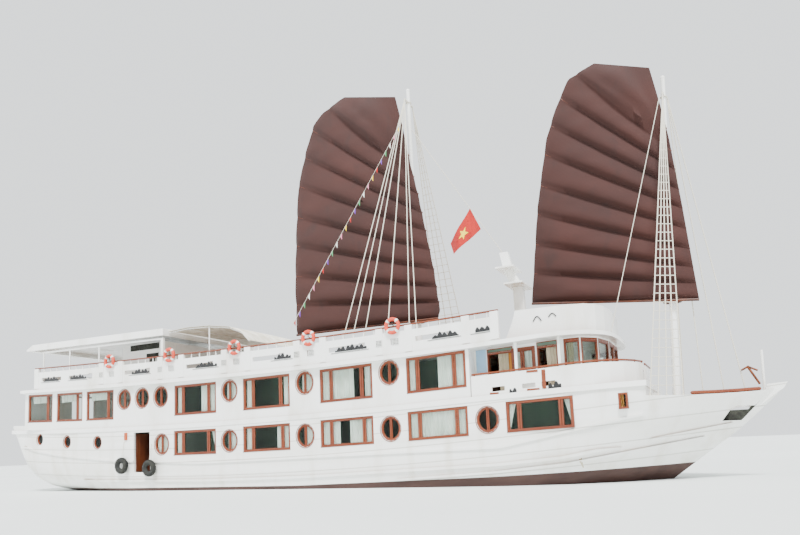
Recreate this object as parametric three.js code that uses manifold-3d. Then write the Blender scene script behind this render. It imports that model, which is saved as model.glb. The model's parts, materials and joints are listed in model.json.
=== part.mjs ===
// A three-deck wooden cruising junk with two batwing sails, in millimetres.
// +X runs to the bow, +Y to port, +Z up. The origin is amidships on the centreline, at the water surface.
import * as THREE from "three";
import { mergeVertices } from "three/addons/utils/BufferGeometryUtils.js";
import Module from "manifold-3d";

const wasm = await Module();
wasm.setup();

// Driving dimensions
const GAP = 0.4; // air between touching pieces
const PITCH = 4200; // from one cabin window to the next
const FIRST_WINDOW_X = -5650;
const HALF_HOUSE = 3750; // outer face of both cabin walls
const HALF_GALLERY = 3050; // the wall set back behind the side gallery, and the wheelhouse side
const WALL = 110;
const SHEER_LOW_X = -5650;
const SHEER_LOW_Z = -100;
const SHEER_RATE = 1.5e-6;
const SHEER_STRAIGHT_X = 8000; // forward of this the deck line runs straight
const SHEER_SLOPE = 0.033;
const EAVE_LOW_X = -1400;
const EAVE_LOW_Z = 5230;
const EAVE_RATE_AFT = 0.9e-6;
const EAVE_RATE_FORE = 1.8e-6;
const EAVE_STRAIGHT_X = 12000;
const EAVE_SLOPE = 0.024;
const FRAME_STEP = 2000; // frames where the deck lines bend

// Heights above the deck line, which is the sheer
const LOWER_FLOOR = 950;
const LOWER_SILL = 1792;
const LOWER_HEAD = 2982;
const UPPER_DECK_UNDER = 3100;
const UPPER_DECK_TOP = 3300;
const UPPER_SILL = 3724;
const UPPER_HEAD = 5207;
const LOWER_ROUND = 2361;
const UPPER_ROUND = 4704;

// Stations along the ship
const STERN_X = -19550;
const HOUSE_AFT_X = -17950;
const GALLERY_AFT_X = 8400;
const BRIDGE_AFT_X = 11950;
const BRIDGE_FORE_X = 13420;
const HOUSE_FORE_X = 14850;
const BOW_X = 19200;

const ROUND_WIDTH = 920;
const ROUND_HEIGHT = 1020;
const ROUND_SIDES = 14;
const WINDOW_WIDTH = 2620;

const SUN_SLAB = 160; // sun deck's thickness at its eave
const SUN_OVERHANG = 250;
const PARAPET = 90;
const BLOCK_TOP = 1310; // parapet posts above the eave's underside
const PARAPET_TOP = 1110;

const FORE_MAST_X = 15680;
const FORE_MAST_FOOT = 2560;
const FORE_MAST_TOP = 16450;
const FORE_MAST_RAKE = 0.037; // metres forward for each metre up
const MAIN_MAST_X = 4640;
const MAIN_MAST_TOP = 19050;

const group = new THREE.Group();

function finish(color, roughness = 0.5, metalness = 0) {
  return new THREE.MeshStandardMaterial({ color, roughness, metalness });
}
const whitePaint = finish(0xf1f0ec, 0.4);
const brownPaint = finish(0x6d4236, 0.6);
const varnish = finish(0x9a4a2a, 0.35);
const sailCloth = finish(0x6b4038, 0.85);
const ropeWhite = finish(0xdcd8cc, 0.8);
const tyreRubber = finish(0x2a2c2b, 0.9);
const awningCloth = finish(0xe9e6d2, 0.8);
const bronze = finish(0xb08a4a, 0.35, 1);
const steel = finish(0x8a8d90, 0.4, 1);
const rust = finish(0x8c4a2a, 0.8, 0.4);
const flagRed = finish(0xd2201f, 0.8);

// A curve drawn as straight runs between frames, so that decks and walls meet on one line
function betweenFrames(curve) {
  return (x) => {
    const aft = Math.floor(x / FRAME_STEP) * FRAME_STEP;
    const share = (x - aft) / FRAME_STEP;
    return curve(aft) * (1 - share) + curve(aft + FRAME_STEP) * share;
  };
}

// The deck line, lowest under the first cabin window
const sheer = betweenFrames((x) => {
  const bent = SHEER_LOW_Z + SHEER_RATE * (Math.min(x, SHEER_STRAIGHT_X) - SHEER_LOW_X) ** 2;
  return bent + SHEER_SLOPE * Math.max(0, x - SHEER_STRAIGHT_X);
});

// The underside of the sun deck's eave
const eave = betweenFrames((x) => {
  const rate = x < EAVE_LOW_X ? EAVE_RATE_AFT : EAVE_RATE_FORE;
  const bent = EAVE_LOW_Z + rate * (Math.min(x, EAVE_STRAIGHT_X) - EAVE_LOW_X) ** 2;
  return bent + EAVE_SLOPE * Math.max(0, x - EAVE_STRAIGHT_X);
});

function windowX(i) {
  return FIRST_WINDOW_X + PITCH * i;
}

function solid(geometry) {
  const bare = geometry.index ? geometry.clone() : geometry;
  bare.deleteAttribute("normal");
  bare.deleteAttribute("uv");
  const merged = mergeVertices(bare, 1e-3);
  return new wasm.Manifold(
    new wasm.Mesh({
      numProp: 3,
      vertProperties: new Float32Array(merged.attributes.position.array),
      triVerts: new Uint32Array(merged.index.array),
    }),
  );
}

function join(parts) {
  return parts.reduce((whole, part) => whole.add(part));
}

function cut(whole, cutters) {
  return cutters.reduce((left, cutter) => left.subtract(cutter), whole);
}

function add(name, body, material) {
  const mesh = body.getMesh();
  const geometry = new THREE.BufferGeometry();
  geometry.setAttribute("position", new THREE.BufferAttribute(new Float32Array(mesh.vertProperties), 3));
  geometry.setIndex(new THREE.BufferAttribute(new Uint32Array(mesh.triVerts), 1));
  geometry.computeVertexNormals();
  const node = new THREE.Mesh(geometry, material);
  node.name = name;
  group.add(node);
  return node;
}

function box(x0, x1, y0, y1, z0, z1) {
  const geometry = new THREE.BoxGeometry(x1 - x0, y1 - y0, z1 - z0);
  geometry.translate((x0 + x1) / 2, (y0 + y1) / 2, (z0 + z1) / 2);
  return solid(geometry);
}

function shapeOf(points) {
  return new THREE.Shape(points.map(([a, b]) => new THREE.Vector2(a, b)));
}

// An outline in x and z, run across the ship from y0 to y1
function across(outline, y0, y1) {
  const shape = outline instanceof THREE.Shape ? outline : shapeOf(outline);
  const settings = { depth: y1 - y0, bevelEnabled: false, curveSegments: 8 };
  const geometry = new THREE.ExtrudeGeometry(shape, settings);
  geometry.rotateX(Math.PI / 2);
  geometry.translate(0, y1, 0);
  return solid(geometry);
}

// An outline in x and y, run up from z0 to z1
function upward(outline, z0, z1) {
  const geometry = new THREE.ExtrudeGeometry(shapeOf(outline), { depth: z1 - z0, bevelEnabled: false });
  geometry.translate(0, 0, z0);
  return solid(geometry);
}

function rod(a, b, radius, sides = 6, endRadius = radius) {
  const from = new THREE.Vector3(...a);
  const to = new THREE.Vector3(...b);
  const way = to.clone().sub(from);
  const geometry = new THREE.CylinderGeometry(endRadius, radius, way.length(), sides);
  geometry.applyQuaternion(
    new THREE.Quaternion().setFromUnitVectors(new THREE.Vector3(0, 1, 0), way.clone().normalize()),
  );
  geometry.translate(...from.add(to).multiplyScalar(0.5).toArray());
  return solid(geometry);
}

function ball(centre, radius, sides = 6) {
  const geometry = new THREE.SphereGeometry(radius, sides, Math.ceil(sides / 2) + 1);
  geometry.translate(...centre);
  return solid(geometry);
}

// A half outline on the starboard side, mirrored to port
function mirrored(half) {
  return [...half, ...half.map(([x, y]) => [x, -y]).reverse()];
}

// Even stations between two ends
function stations(x0, x1, step = 2000) {
  const count = Math.max(1, Math.round((x1 - x0) / step));
  return Array.from({ length: count + 1 }, (_, k) => x0 + ((x1 - x0) * k) / count);
}

// A band of side view between two lines, each a function of x
function band(x0, x1, low, high) {
  const xs = [x0];
  for (let x = Math.ceil((x0 + 1) / FRAME_STEP) * FRAME_STEP; x < x1; x += FRAME_STEP) xs.push(x);
  xs.push(x1);
  return [...xs.map((x) => [x, low(x)]), ...xs.reverse().map((x) => [x, high(x)])];
}

const onSheer = (height) => (x) => sheer(x) + height;
const onEave = (height) => (x) => eave(x) + height;
const sunDeckTop = (x) => eave(x) + SUN_SLAB;

// Hull sections: x, bottom of the section, half breadth at the top, fullness and flare of the side
const HULL_TOP = 3800;
const SECTIONS = [
  [STERN_X, 3400, 3300, 8, 0.2],
  [-19100, 2650, 3390, 8, 0.2],
  [-18700, 1800, 3440, 8, 0.2],
  [-18300, 1000, 3480, 8, 0.22],
  [-17900, 400, 3530, 6, 0.3],
  [-17300, 130, 3600, 6, 0.3],
  [-16300, -60, 3670, 6, 0.31],
  [-15000, -190, 3740, 6, 0.32],
  [-13000, -450, 3780, 6, 0.36],
  [-10000, -1250, 3790, 6, 0.36],
  [-6000, -1500, 3790, 6, 0.32],
  [0, -1500, 3790, 6, 0.3],
  [6000, -1500, 3790, 6, 0.34],
  [9500, -1420, 3790, 5, 0.45],
  [12000, -1150, 3770, 3.4, 0.62],
  [13800, -720, 3560, 2.4, 0.78],
  [15300, -30, 3080, 1.8, 0.88],
  [16600, 930, 2400, 1.5, 0.92],
  [17800, 1810, 1560, 1.3, 0.95],
  [18600, 2520, 860, 1.2, 1],
  [BOW_X, 3080, 330, 1.1, 1],
];
const SECTION_STEPS = [0, 0.05, 0.14, 0.27, 0.42, 0.58, 0.78, 1];

function halfBreadth(section, inset, t) {
  const [, , top, fullness, flare] = section;
  return Math.max(top - inset, 30) * (1 - (1 - t) ** fullness) ** flare;
}

// The closed hull form, shrunk by inset for the inner face of its planking
function hullForm(inset, lift = 0) {
  const rings = SECTIONS.map((section) => {
    const [x, bottom] = section;
    const low = bottom + inset;
    const depth = HULL_TOP + inset - low;
    const half = SECTION_STEPS.map((t) => [x, -halfBreadth(section, inset, t), low + depth * t]);
    const port = half.slice(1).map(([sx, y, z]) => [sx, -y, z]).reverse();
    return [...half, ...port];
  });
  const count = rings[0].length;
  const triangles = [];
  const quad = (a, b, c, d) => triangles.push(a, b, c, a, c, d);
  for (let s = 0; s + 1 < rings.length; s++)
    for (let k = 0; k < count; k++) {
      const next = (k + 1) % count;
      quad(rings[s][k], rings[s + 1][k], rings[s + 1][next], rings[s][next]);
    }
  const cap = (ring, flip) => {
    for (let k = 1; k + 1 < count; k++)
      triangles.push(ring[0], ring[flip ? k + 1 : k], ring[flip ? k : k + 1]);
  };
  cap(rings[0], false);
  cap(rings[rings.length - 1], true);
  const geometry = new THREE.BufferGeometry();
  geometry.setAttribute("position", new THREE.Float32BufferAttribute(triangles.flat(), 3));
  geometry.translate(0, 0, lift);
  return solid(geometry);
}

const hullOuter = hullForm(0);
const hullInner = hullForm(WALL);

// The painted waterline: low aft, rising to the bow
function bootLine(x) {
  return 150 + Math.max(0, x) * 0.024 + Math.max(0, x - 9000) * 0.012;
}

const bootXs = [-20000, 0, 9000, 20000];
const belowBoot = [...bootXs.map((x) => [x, bootLine(x)]), [20000, -3000], [-20000, -3000]].reverse();
const aboveBoot = [...bootXs.map((x) => [x, bootLine(x) + GAP]), [20000, 6000], [-20000, 6000]];

// Wales: raised strakes along the side. Each is a line of [x, z of its middle], and its depth
const WALE_PROUD = 60;
const TOP_WALE = {
  line: [
    [-18300, 2520], [-17200, 2260], [-15000, 1930], [-10700, 1530], [-5350, 1300], [9500, 1500],
    [14700, 2480],
  ],
  depth: 90,
};
const HULL_WALES = [
  { line: [[-13500, 560], [-5000, 470], [300, 530], [9400, 840], [11750, 1020], [17600, 2020]], depth: 110 },
  { line: [[5000, 330], [9400, 560], [12000, 800], [16600, 1560]], depth: 80 },
];
const waleSkin = hullForm(-WALE_PROUD).subtract(hullForm(20));

function wale({ line, depth }) {
  const low = line.map(([x, z]) => [x, z - depth / 2]);
  const high = line.map(([x, z]) => [x, z + depth / 2]).reverse();
  return waleSkin.intersect(across([...low, ...high], -5000, 5000));
}

const FOREDECK_TOP = 2550;
const BULWARK_TOP = 3180;

function bulwarkLine(x) {
  return BULWARK_TOP - 60 + 1.8e-5 * (x - 16300) ** 2;
}

const KEEL_SIDE = [[-11500, -1900], [11500, -1900], [13700, -1250], [14300, -300], [-12900, -300]];
const bottom = hullOuter.intersect(across(belowBoot, -5000, 5000));
add("hull_bottom", bottom.add(across(KEEL_SIDE, -110, 110)), brownPaint);

// Topsides: solid up to the lower floor, with the foredeck and its bulwark forward
function topsides() {
  const wales = join(HULL_WALES.map(wale));
  const body = join([hullOuter, wales]).intersect(across(aboveBoot, -5000, 5000));
  const floorCut = across(band(-19900, HOUSE_FORE_X, onSheer(LOWER_FLOOR), onSheer(6000)), -5000, 5000);
  const [aftX, foreX] = [HOUSE_FORE_X - 1, BOW_X + 400];
  const bulwarkEdge = stations(aftX, foreX, 600).map((x) => [x, bulwarkLine(x)]);
  const aboveBulwark = [...bulwarkEdge, [foreX, 6000], [aftX, 6000]];
  const well = hullInner.intersect(box(HOUSE_FORE_X + 1, 18300, -4000, 4000, FOREDECK_TOP, 4000));
  const pocketSide = [
    [17250, 2150], [18150, 2150], [18650, 2680], [17800, 2680], [17600, 2600],
  ];
  const pockets = [-1, 1].map((side) => across(pocketSide, side > 0 ? 260 : -3000, side > 0 ? 3000 : -260));
  return cut(body, [floorCut, across(aboveBulwark, -5000, 5000), well, ...pockets]).add(stemHead());
}

// Blade of the stem head
function stemHead() {
  const side = [[18480, 2600], [BOW_X, 3130], [19410, 3270], [19570, 3500], [18870, 3460], [18730, 2900]];
  return across(side, -150, 150);
}
add("hull_topsides", topsides(), whitePaint);

// A rectangular window's outline, following the deck line
function rectWindow(x, width, sill, head) {
  const x0 = x - width / 2;
  const x1 = x + width / 2;
  return [
    [x0, sheer(x0) + sill], [x1, sheer(x1) + sill], [x1, sheer(x1) + head], [x0, sheer(x0) + head],
  ];
}

function roundWindow(x, z, width = ROUND_WIDTH, height = ROUND_HEIGHT) {
  return Array.from({ length: ROUND_SIDES }, (_, k) => {
    const a = (2 * Math.PI * (k + 0.5)) / ROUND_SIDES;
    return [x + (width / 2) * Math.cos(a), z + (height / 2) * Math.sin(a)];
  });
}

const throughBoth = (outline) => across(outline, -4600, 4600);

const SIDE_DOOR_X = -9080;
const SIDE_DOOR_WIDTH = 1080;
const PORTHOLES = [
  [-16840, 2870], [-14530, 2660], [-12210, 2530],
];
const SMALL_ROUNDS = [-10340, -9100, -7850];
const SALOON_WINDOWS = [-16715, -14385, -12085];
const SALOON_WINDOW_WIDTH = 2000;

// The run of one node cut from a shell: between two stations, and to one side of the centreline or whole
function panel(shell, x0, x1, side = 0) {
  const y0 = side > 0 ? GAP / 2 : -6000;
  const y1 = side < 0 ? -GAP / 2 : 6000;
  return shell.intersect(box(x0 + GAP / 2, x1 - GAP / 2, y0, y1, -1000, 9000));
}
const SIDES = [["starboard", -1], ["port", 1]];

// Lower cabin walls: the hull form's skin between the lower floor and the deck above
const LOWER_AFT_X = -18000; // inner face of the lower transom
const LOWER_FORE_X = HOUSE_FORE_X - WALL;
function lowerWalls() {
  const strip = across(
    band(-19900, HOUSE_FORE_X, onSheer(LOWER_FLOOR + GAP), onSheer(UPPER_DECK_UNDER - GAP)), -5000, 5000,
  );
  const outer = join([hullOuter, wale(TOP_WALE)]).intersect(strip);
  const inner = hullInner.intersect(box(LOWER_AFT_X, LOWER_FORE_X, -5000, 5000, 0, 4000));
  const windows = [0, 1, 2, 3].map((i) => rectWindow(windowX(i), WINDOW_WIDTH, LOWER_SILL, LOWER_HEAD));
  windows.push(rectWindow(11080, WINDOW_WIDTH - 60, LOWER_SILL, LOWER_HEAD));
  for (const i of [-0.5, 0.5, 1.5, 2.5, 3.5])
    windows.push(roundWindow(windowX(i), sheer(windowX(i)) + LOWER_ROUND));
  for (const [x, z] of PORTHOLES) windows.push(roundWindow(x, z, 560, 640));
  windows.push(rectWindow(SIDE_DOOR_X, SIDE_DOOR_WIDTH, LOWER_FLOOR + 60, 3000));
  windows.push(rectWindow(14090, 340, 2320, 2910));
  const foreDoor = box(HOUSE_FORE_X - 400, HOUSE_FORE_X + 100, -420, 420, FOREDECK_TOP + 60, 3420);
  return cut(outer, [inner, ...windows.map(throughBoth), foreDoor]);
}
const lower = lowerWalls();
add("lower_transom", panel(lower, -20000, LOWER_AFT_X), whitePaint);
add("lower_bow_bulkhead", panel(lower, LOWER_FORE_X, 20000), whitePaint);
for (const [label, side] of SIDES)
  add(`lower_wall_${label}`, panel(lower, LOWER_AFT_X, LOWER_FORE_X, side), whitePaint);

// Upper deck: the slab between the cabins, its edge standing proud as a band along the side
function deckPlan(halfWidth, foreX) {
  const half = [
    [STERN_X - 60, -(halfWidth - 460)], [-18700, -(halfWidth - 310)], [-17900, -(halfWidth - 220)],
    [-15000, -halfWidth], [12400, -halfWidth], [13800, -(halfWidth - 220)], [foreX, -(halfWidth - 520)],
  ];
  return mirrored(half);
}

function upperDeck() {
  const slab = across(band(-19700, 14950, onSheer(UPPER_DECK_UNDER), onSheer(UPPER_DECK_TOP)), -5000, 5000);
  return slab.intersect(upward(deckPlan(HALF_HOUSE + 70, 14900), 2000, 5000));
}
add("upper_deck", upperDeck(), whitePaint);

// Doors and window of the gallery wall
const GALLERY_DOOR_X = 9470;
const GALLERY_DOOR_WIDTH = 1080;
const GALLERY_WINDOW_X = 10420;
const BRIDGE_DOOR_X = 11370;
const BRIDGE_DOOR_WIDTH = 820;
const GALLERY_HEAD = 5020;

// Upper cabin walls with the saloon aft
function upperWalls() {
  const plan = [
    [HOUSE_AFT_X, -HALF_HOUSE], [GALLERY_AFT_X, -HALF_HOUSE],
    [GALLERY_AFT_X, -HALF_GALLERY], [BRIDGE_AFT_X - GAP, -HALF_GALLERY],
  ];
  const hollow = [
    [HOUSE_AFT_X + WALL, -HALF_HOUSE + WALL], [GALLERY_AFT_X - WALL, -HALF_HOUSE + WALL],
    [GALLERY_AFT_X - WALL, -HALF_GALLERY + WALL], [BRIDGE_AFT_X + 50, -HALF_GALLERY + WALL],
  ];
  const strip = across(band(-18500, 12500, onSheer(UPPER_DECK_TOP + GAP), onEave(-GAP)), -5000, 5000);
  const walls = upward(mirrored(plan), 2500, 7000).subtract(upward(mirrored(hollow), 2400, 7100));
  const shell = walls.intersect(strip);
  const windows = [0, 1, 2, 3].map((i) => rectWindow(windowX(i), WINDOW_WIDTH, UPPER_SILL, UPPER_HEAD));
  for (const i of [0.5, 1.5, 2.5]) windows.push(roundWindow(windowX(i), sheer(windowX(i)) + UPPER_ROUND));
  for (const x of SMALL_ROUNDS) windows.push(roundWindow(x, sheer(x) + UPPER_ROUND + 20));
  const saloonHead = UPPER_HEAD + 60;
  for (const x of SALOON_WINDOWS) windows.push(rectWindow(x, SALOON_WINDOW_WIDTH, UPPER_SILL, saloonHead));
  windows.push(rectWindow(GALLERY_WINDOW_X, 780, 4150, GALLERY_HEAD));
  windows.push(rectWindow(GALLERY_DOOR_X, GALLERY_DOOR_WIDTH, UPPER_DECK_TOP + 60, GALLERY_HEAD));
  windows.push(rectWindow(BRIDGE_DOOR_X, BRIDGE_DOOR_WIDTH, UPPER_DECK_TOP + 60, GALLERY_HEAD));
  const sternDoor = box(HOUSE_AFT_X - 100, HOUSE_AFT_X + 300, -800, 800, sheer(HOUSE_AFT_X) + 3360, 5400);
  return cut(shell, [...windows.map(throughBoth), sternDoor]);
}
const upper = upperWalls();
add("upper_aft_bulkhead", panel(upper, -20000, HOUSE_AFT_X + WALL), whitePaint);
for (const [label, side] of SIDES)
  add(`upper_wall_${label}`, panel(upper, HOUSE_AFT_X + WALL, BRIDGE_AFT_X, side), whitePaint);

// Stern bulwark round the small after deck
function sternBulwark() {
  const outer = hullOuter.intersect(
    across(band(-19900, -10800, onSheer(UPPER_DECK_TOP + GAP), onSheer(3560)), -5000, 5000),
  );
  const aft = outer.intersect(box(-19900, HOUSE_AFT_X - 20, -5000, 5000, 2500, 4500));
  return cut(aft, [hullInner.intersect(box(STERN_X + 200, -17000, -5000, 5000, 2500, 4500))]);
}
add("stern_bulwark", sternBulwark(), whitePaint);

// Wheelhouse on the upper deck, its front bowed: corners of its plan on one side
function bridgePlan(inset) {
  const half = HALF_GALLERY - inset;
  return mirrored([
    [BRIDGE_AFT_X + inset, -half], [12640 - inset * 0.2, -half],
    [13180 - inset * 0.7, -2420 + inset * 0.7], [BRIDGE_FORE_X - inset, -1180 + inset * 0.3],
  ]);
}

// Panes of its side and front: the ends of each in plan, on the port side
const BRIDGE_PANES = [
  [[12060, 3050], [12560, 3050]],
  [[12690, 2992], [13140, 2468]],
  [[13200, 2310], [13400, 1290]],
  [[13420, 1080], [13420, 90]],
];

const PANE_SILL = 4480;
const PANE_HEAD = 5400;

// A cutter through the wall along one pane, on the given side
function paneCutter([[x0, y0], [x1, y1]], side) {
  const length = Math.hypot(x1 - x0, y1 - y0);
  const [nx, ny] = [(-150 * (y1 - y0)) / length, (150 * (x1 - x0)) / length];
  const plan = [
    [x0 + nx, y0 + ny], [x1 + nx, y1 + ny], [x1 - nx, y1 - ny], [x0 - nx, y0 - ny],
  ].map(([x, y]) => [x, side * y]);
  return upward(side > 0 ? plan.reverse() : plan, PANE_SILL, PANE_HEAD);
}

function wheelhouse() {
  const strip = across(band(11000, 15000, onSheer(UPPER_DECK_TOP + GAP), onEave(-GAP)), -5000, 5000);
  const walls = upward(bridgePlan(0), 2500, 7000).subtract(upward(bridgePlan(90), 2400, 7100));
  const panes = BRIDGE_PANES.flatMap((pane) => [paneCutter(pane, -1), paneCutter(pane, 1)]);
  const aftDoor = box(11800, 12200, -400, 400, sheer(12000) + 3360, 5300);
  return cut(walls.intersect(strip), [...panes, aftDoor]);
}
add("wheelhouse", wheelhouse(), whitePaint);

// Sun deck with its overhanging eave, carried forward as the wheelhouse roof with a bowed front
const SUN_DECK_HALF_PLAN = [
  [-18350, 3500], [-18050, 4000], [11300, 4000], [12000, 3900], [12600, 3660], [13100, 3280], [13480, 2700],
  [13690, 1950], [13760, 1000],
];
function sunDeck() {
  const plan = mirrored(SUN_DECK_HALF_PLAN.map(([x, y]) => [x, -y]));
  const slab = across(band(-19600, 14300, onEave(0), onEave(SUN_SLAB)), -5000, 5000);
  return slab.intersect(upward(plan, 4500, 7000));
}
add("sun_deck", sunDeck(), whitePaint);

// Sun deck parapet, one side and half of the after end: blocks by each life ring, and pierced panels between
const PARAPET_AFT_X = -16950;
const PARAPET_FORE_X = 9750;
const RING_XS = [-11080, -7000, -2990, 1100, 5230];
const BLOCK_OFFSET = 680;
const HOLE_FOOT = 600; // foot of the parapet's openings above the eave's underside
const LONG_HOLES = [-15600, -13450, ...RING_XS.map((x) => x + 1750)];
const SQUARE_HOLES = RING_XS.flatMap((x) => [x - 830 - BLOCK_OFFSET, x]);
const BLOCK_WIDTH = 330;

function parapet(side) {
  const y = side * (HALF_HOUSE + SUN_OVERHANG - 60);
  const y0 = Math.min(y, y - side * PARAPET);
  const y1 = Math.max(y, y - side * PARAPET);
  const length = band(PARAPET_AFT_X, PARAPET_FORE_X, onEave(SUN_SLAB + GAP), onEave(PARAPET_TOP));
  const wall = across(length, y0, y1);
  const blockXs = RING_XS.flatMap((x) => [x - BLOCK_OFFSET, x + BLOCK_OFFSET]);
  blockXs.push(PARAPET_AFT_X + BLOCK_WIDTH / 2, 8400, PARAPET_FORE_X - BLOCK_WIDTH / 2);
  const blocks = blockXs.map((x) => {
    const [x0, x1] = [x - BLOCK_WIDTH / 2, x + BLOCK_WIDTH / 2];
    return across(band(x0, x1, onEave(SUN_SLAB + 60), onEave(BLOCK_TOP)), y0 - 30, y1 + 30);
  });
  const holes = [];
  for (const x of LONG_HOLES) {
    const [x0, x1] = [x - 780, x + 780];
    holes.push(across(band(x0, x1, onEave(HOLE_FOOT), onEave(HOLE_FOOT + 200)), y0 - 100, y1 + 100));
  }
  for (const x of SQUARE_HOLES) {
    const z = eave(x) + HOLE_FOOT - 40;
    holes.push(box(x - 150, x + 150, y0 - 100, y1 + 100, z, z + 280));
  }
  const aftWall = box(
    PARAPET_AFT_X, PARAPET_AFT_X + PARAPET, Math.min(side * GAP, y), Math.max(side * GAP, y),
    sunDeckTop(PARAPET_AFT_X) + 30, eave(PARAPET_AFT_X) + PARAPET_TOP,
  );
  return cut(join([wall, aftWall, ...blocks]), holes);
}
add("parapet_starboard", parapet(-1), whitePaint);
add("parapet_port", parapet(1), whitePaint);

// Handrail on the blocks, with the life rings that hang on it
function lifeRing(x, y, z) {
  const geometry = new THREE.TorusGeometry(285, 80, 6, 14);
  geometry.rotateX(Math.PI / 2);
  geometry.translate(x, y, z);
  return solid(geometry);
}

function sunRail(side) {
  const y = side * (HALF_HOUSE + SUN_OVERHANG - 60 - PARAPET / 2);
  const rail = band(PARAPET_AFT_X, PARAPET_FORE_X, onEave(BLOCK_TOP + GAP), onEave(BLOCK_TOP + 60));
  const parts = [across(rail, y - 60, y + 60)];
  for (const x of RING_XS) {
    const outside = y + side * (PARAPET / 2 + 60 + 85);
    const z = eave(x) + BLOCK_TOP + 40;
    parts.push(lifeRing(x, outside, z));
    parts.push(box(x - 40, x + 40, Math.min(y, outside), Math.max(y, outside), z + 10, z + 60));
    parts.push(box(x - 40, x + 40, outside - 40, outside + 40, z - 10, z + 300));
  }
  return join(parts);
}
add("sun_rail_starboard", sunRail(-1), varnish);
add("sun_rail_port", sunRail(1), varnish);

// Upper foredeck bulwark, outside the gallery and round the wheelhouse front
const GALLERY_TOP = 4100; // top of the bulwark above the deck line
const RAIL_HEIGHT = 4170;
const FORE_CURVE = [[12500, 3770], [13150, 3630], [13680, 3330], [14130, 2850], [14470, 2200], [14660, 1500]];
const STAIR_IN = 500;
const STAIR_OUT = 1450;
const PILLAR_XS = [10290, 11960];

// The bulwark's rounded fore corner on one side, moved inwards
function foreCurve(inset) {
  return FORE_CURVE.map(([x, y], k) => {
    const turn = (Math.PI / 2) * (k / (FORE_CURVE.length - 1));
    return [x - inset * Math.sin(turn), y - inset * Math.cos(turn)];
  });
}

function galleryBulwark() {
  const plan = (inset) => mirrored([
    [GALLERY_AFT_X + 60 - (inset ? 200 : 0), -(HALF_HOUSE + 20 - inset)],
    ...foreCurve(inset).map(([x, y]) => [x, -y]),
  ]);
  const strip = across(band(8000, 15200, onSheer(UPPER_DECK_TOP + GAP), onSheer(GALLERY_TOP)), -5000, 5000);
  const ring = upward(plan(0), 2500, 7000).subtract(upward(plan(80), 2400, 7100)).intersect(strip);
  const gate = box(14300, 15200, -STAIR_OUT, -STAIR_IN, 3000, 6000);
  const holes = [9550, 10750, 11500].map((x) => throughBoth(rectWindow(x, 520, 3420, 3600)));
  const pillars = [-1, 1].flatMap((side) =>
    PILLAR_XS.map((x) => {
      const y = side * (HALF_HOUSE - 100);
      return box(x - 50, x + 50, y - 50, y + 50, sheer(x) + UPPER_DECK_TOP + 4, eave(x) - 4);
    }));
  return join([cut(ring, [gate, box(8000, 12500, -3500, 3500, 2000, 6000), ...holes]), ...pillars]);
}
// The bulwark parts at the stair's gate, which is on the starboard side
function sideOf(body, side) {
  const gateY = -(STAIR_IN + STAIR_OUT) / 2;
  return body.intersect(box(8000, 16000, side > 0 ? gateY : -6000, side > 0 ? 6000 : gateY, 0, 8000));
}
const gallery = galleryBulwark();
add("gallery_bulwark_starboard", sideOf(gallery, -1), whitePaint);
add("gallery_bulwark_port", sideOf(gallery, 1), whitePaint);

// Handrail of the gallery bulwark
function galleryRail(side) {
  const gateEnd = side < 0 ? STAIR_OUT + 50 : -STAIR_IN + 50;
  const curve = foreCurve(25);
  const endX = curve[curve.length - 1][0];
  const path = [[GALLERY_AFT_X + 80, 3745], ...curve, [endX, gateEnd]];
  const parts = [];
  for (let k = 0; k + 1 < path.length; k++) {
    const [a, b] = [path[k], path[k + 1]].map(([x, y]) => [x, side * y, sheer(x) + RAIL_HEIGHT]);
    parts.push(rod(a, b, 38, 6));
    parts.push(ball(b, 44));
  }
  for (const [x, y] of [[8600, 3745], [10900, 3745], curve[2], curve[4], [endX, gateEnd + 60]])
    parts.push(rod([x, side * y, sheer(x) + GALLERY_TOP + 6], [x, side * y, sheer(x) + RAIL_HEIGHT], 26, 6));
  return join(parts);
}
add("gallery_rail_starboard", galleryRail(-1), varnish);
add("gallery_rail_port", galleryRail(1), varnish);

// White box over the wheelhouse, open behind: its sides sweep down aft and its front is bowed
function roofBox() {
  const half = [[9700, 3300], [12300, 3300], [12850, 3080], [13200, 2620], [13420, 1900], [13500, 1000]];
  const inner = [[9600, 3220], [12290, 3220], [12800, 3020], [13130, 2580], [13340, 1880], [13420, 990]];
  const ring = (points) => upward(mirrored(points.map(([x, y]) => [x, -y])), 5000, 8000);
  const side = new THREE.Shape();
  const foot = (x) => eave(x) + SUN_SLAB + GAP;
  side.moveTo(9830, foot(9830));
  side.lineTo(12000, foot(12000));
  side.lineTo(14000, foot(14000));
  side.lineTo(14000, 6850);
  side.lineTo(12600, 6790);
  side.lineTo(10250, 6800);
  side.quadraticCurveTo(10150, 6350, 9830, foot(9830) + 120);
  return ring(half).subtract(ring(inner)).intersect(across(side, -3400, 3400));
}
add("roof_box", roofBox(), whitePaint);

// Leaning signal mast behind the wheelhouse roof
function signalMast() {
  const deck = (x) => eave(x) + SUN_SLAB + GAP;
  const side = [
    [9200, deck(9200)], [10100, deck(10100)], [9860, 6500], [9800, 8500], [9380, 9300], [9200, 10150],
    [8820, 10150], [9000, 9200], [9350, 8450], [9380, 6500],
  ];
  const post = across(side, -130, 130);
  const bars = [
    [9580, 8500, 900], [9180, 9300, 700],
  ].map(([x, z, width]) => box(x - 420, x + 420, -width, width, z, z + 70));
  return join([post, ...bars]);
}
add("signal_mast", signalMast(), whitePaint);

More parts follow.
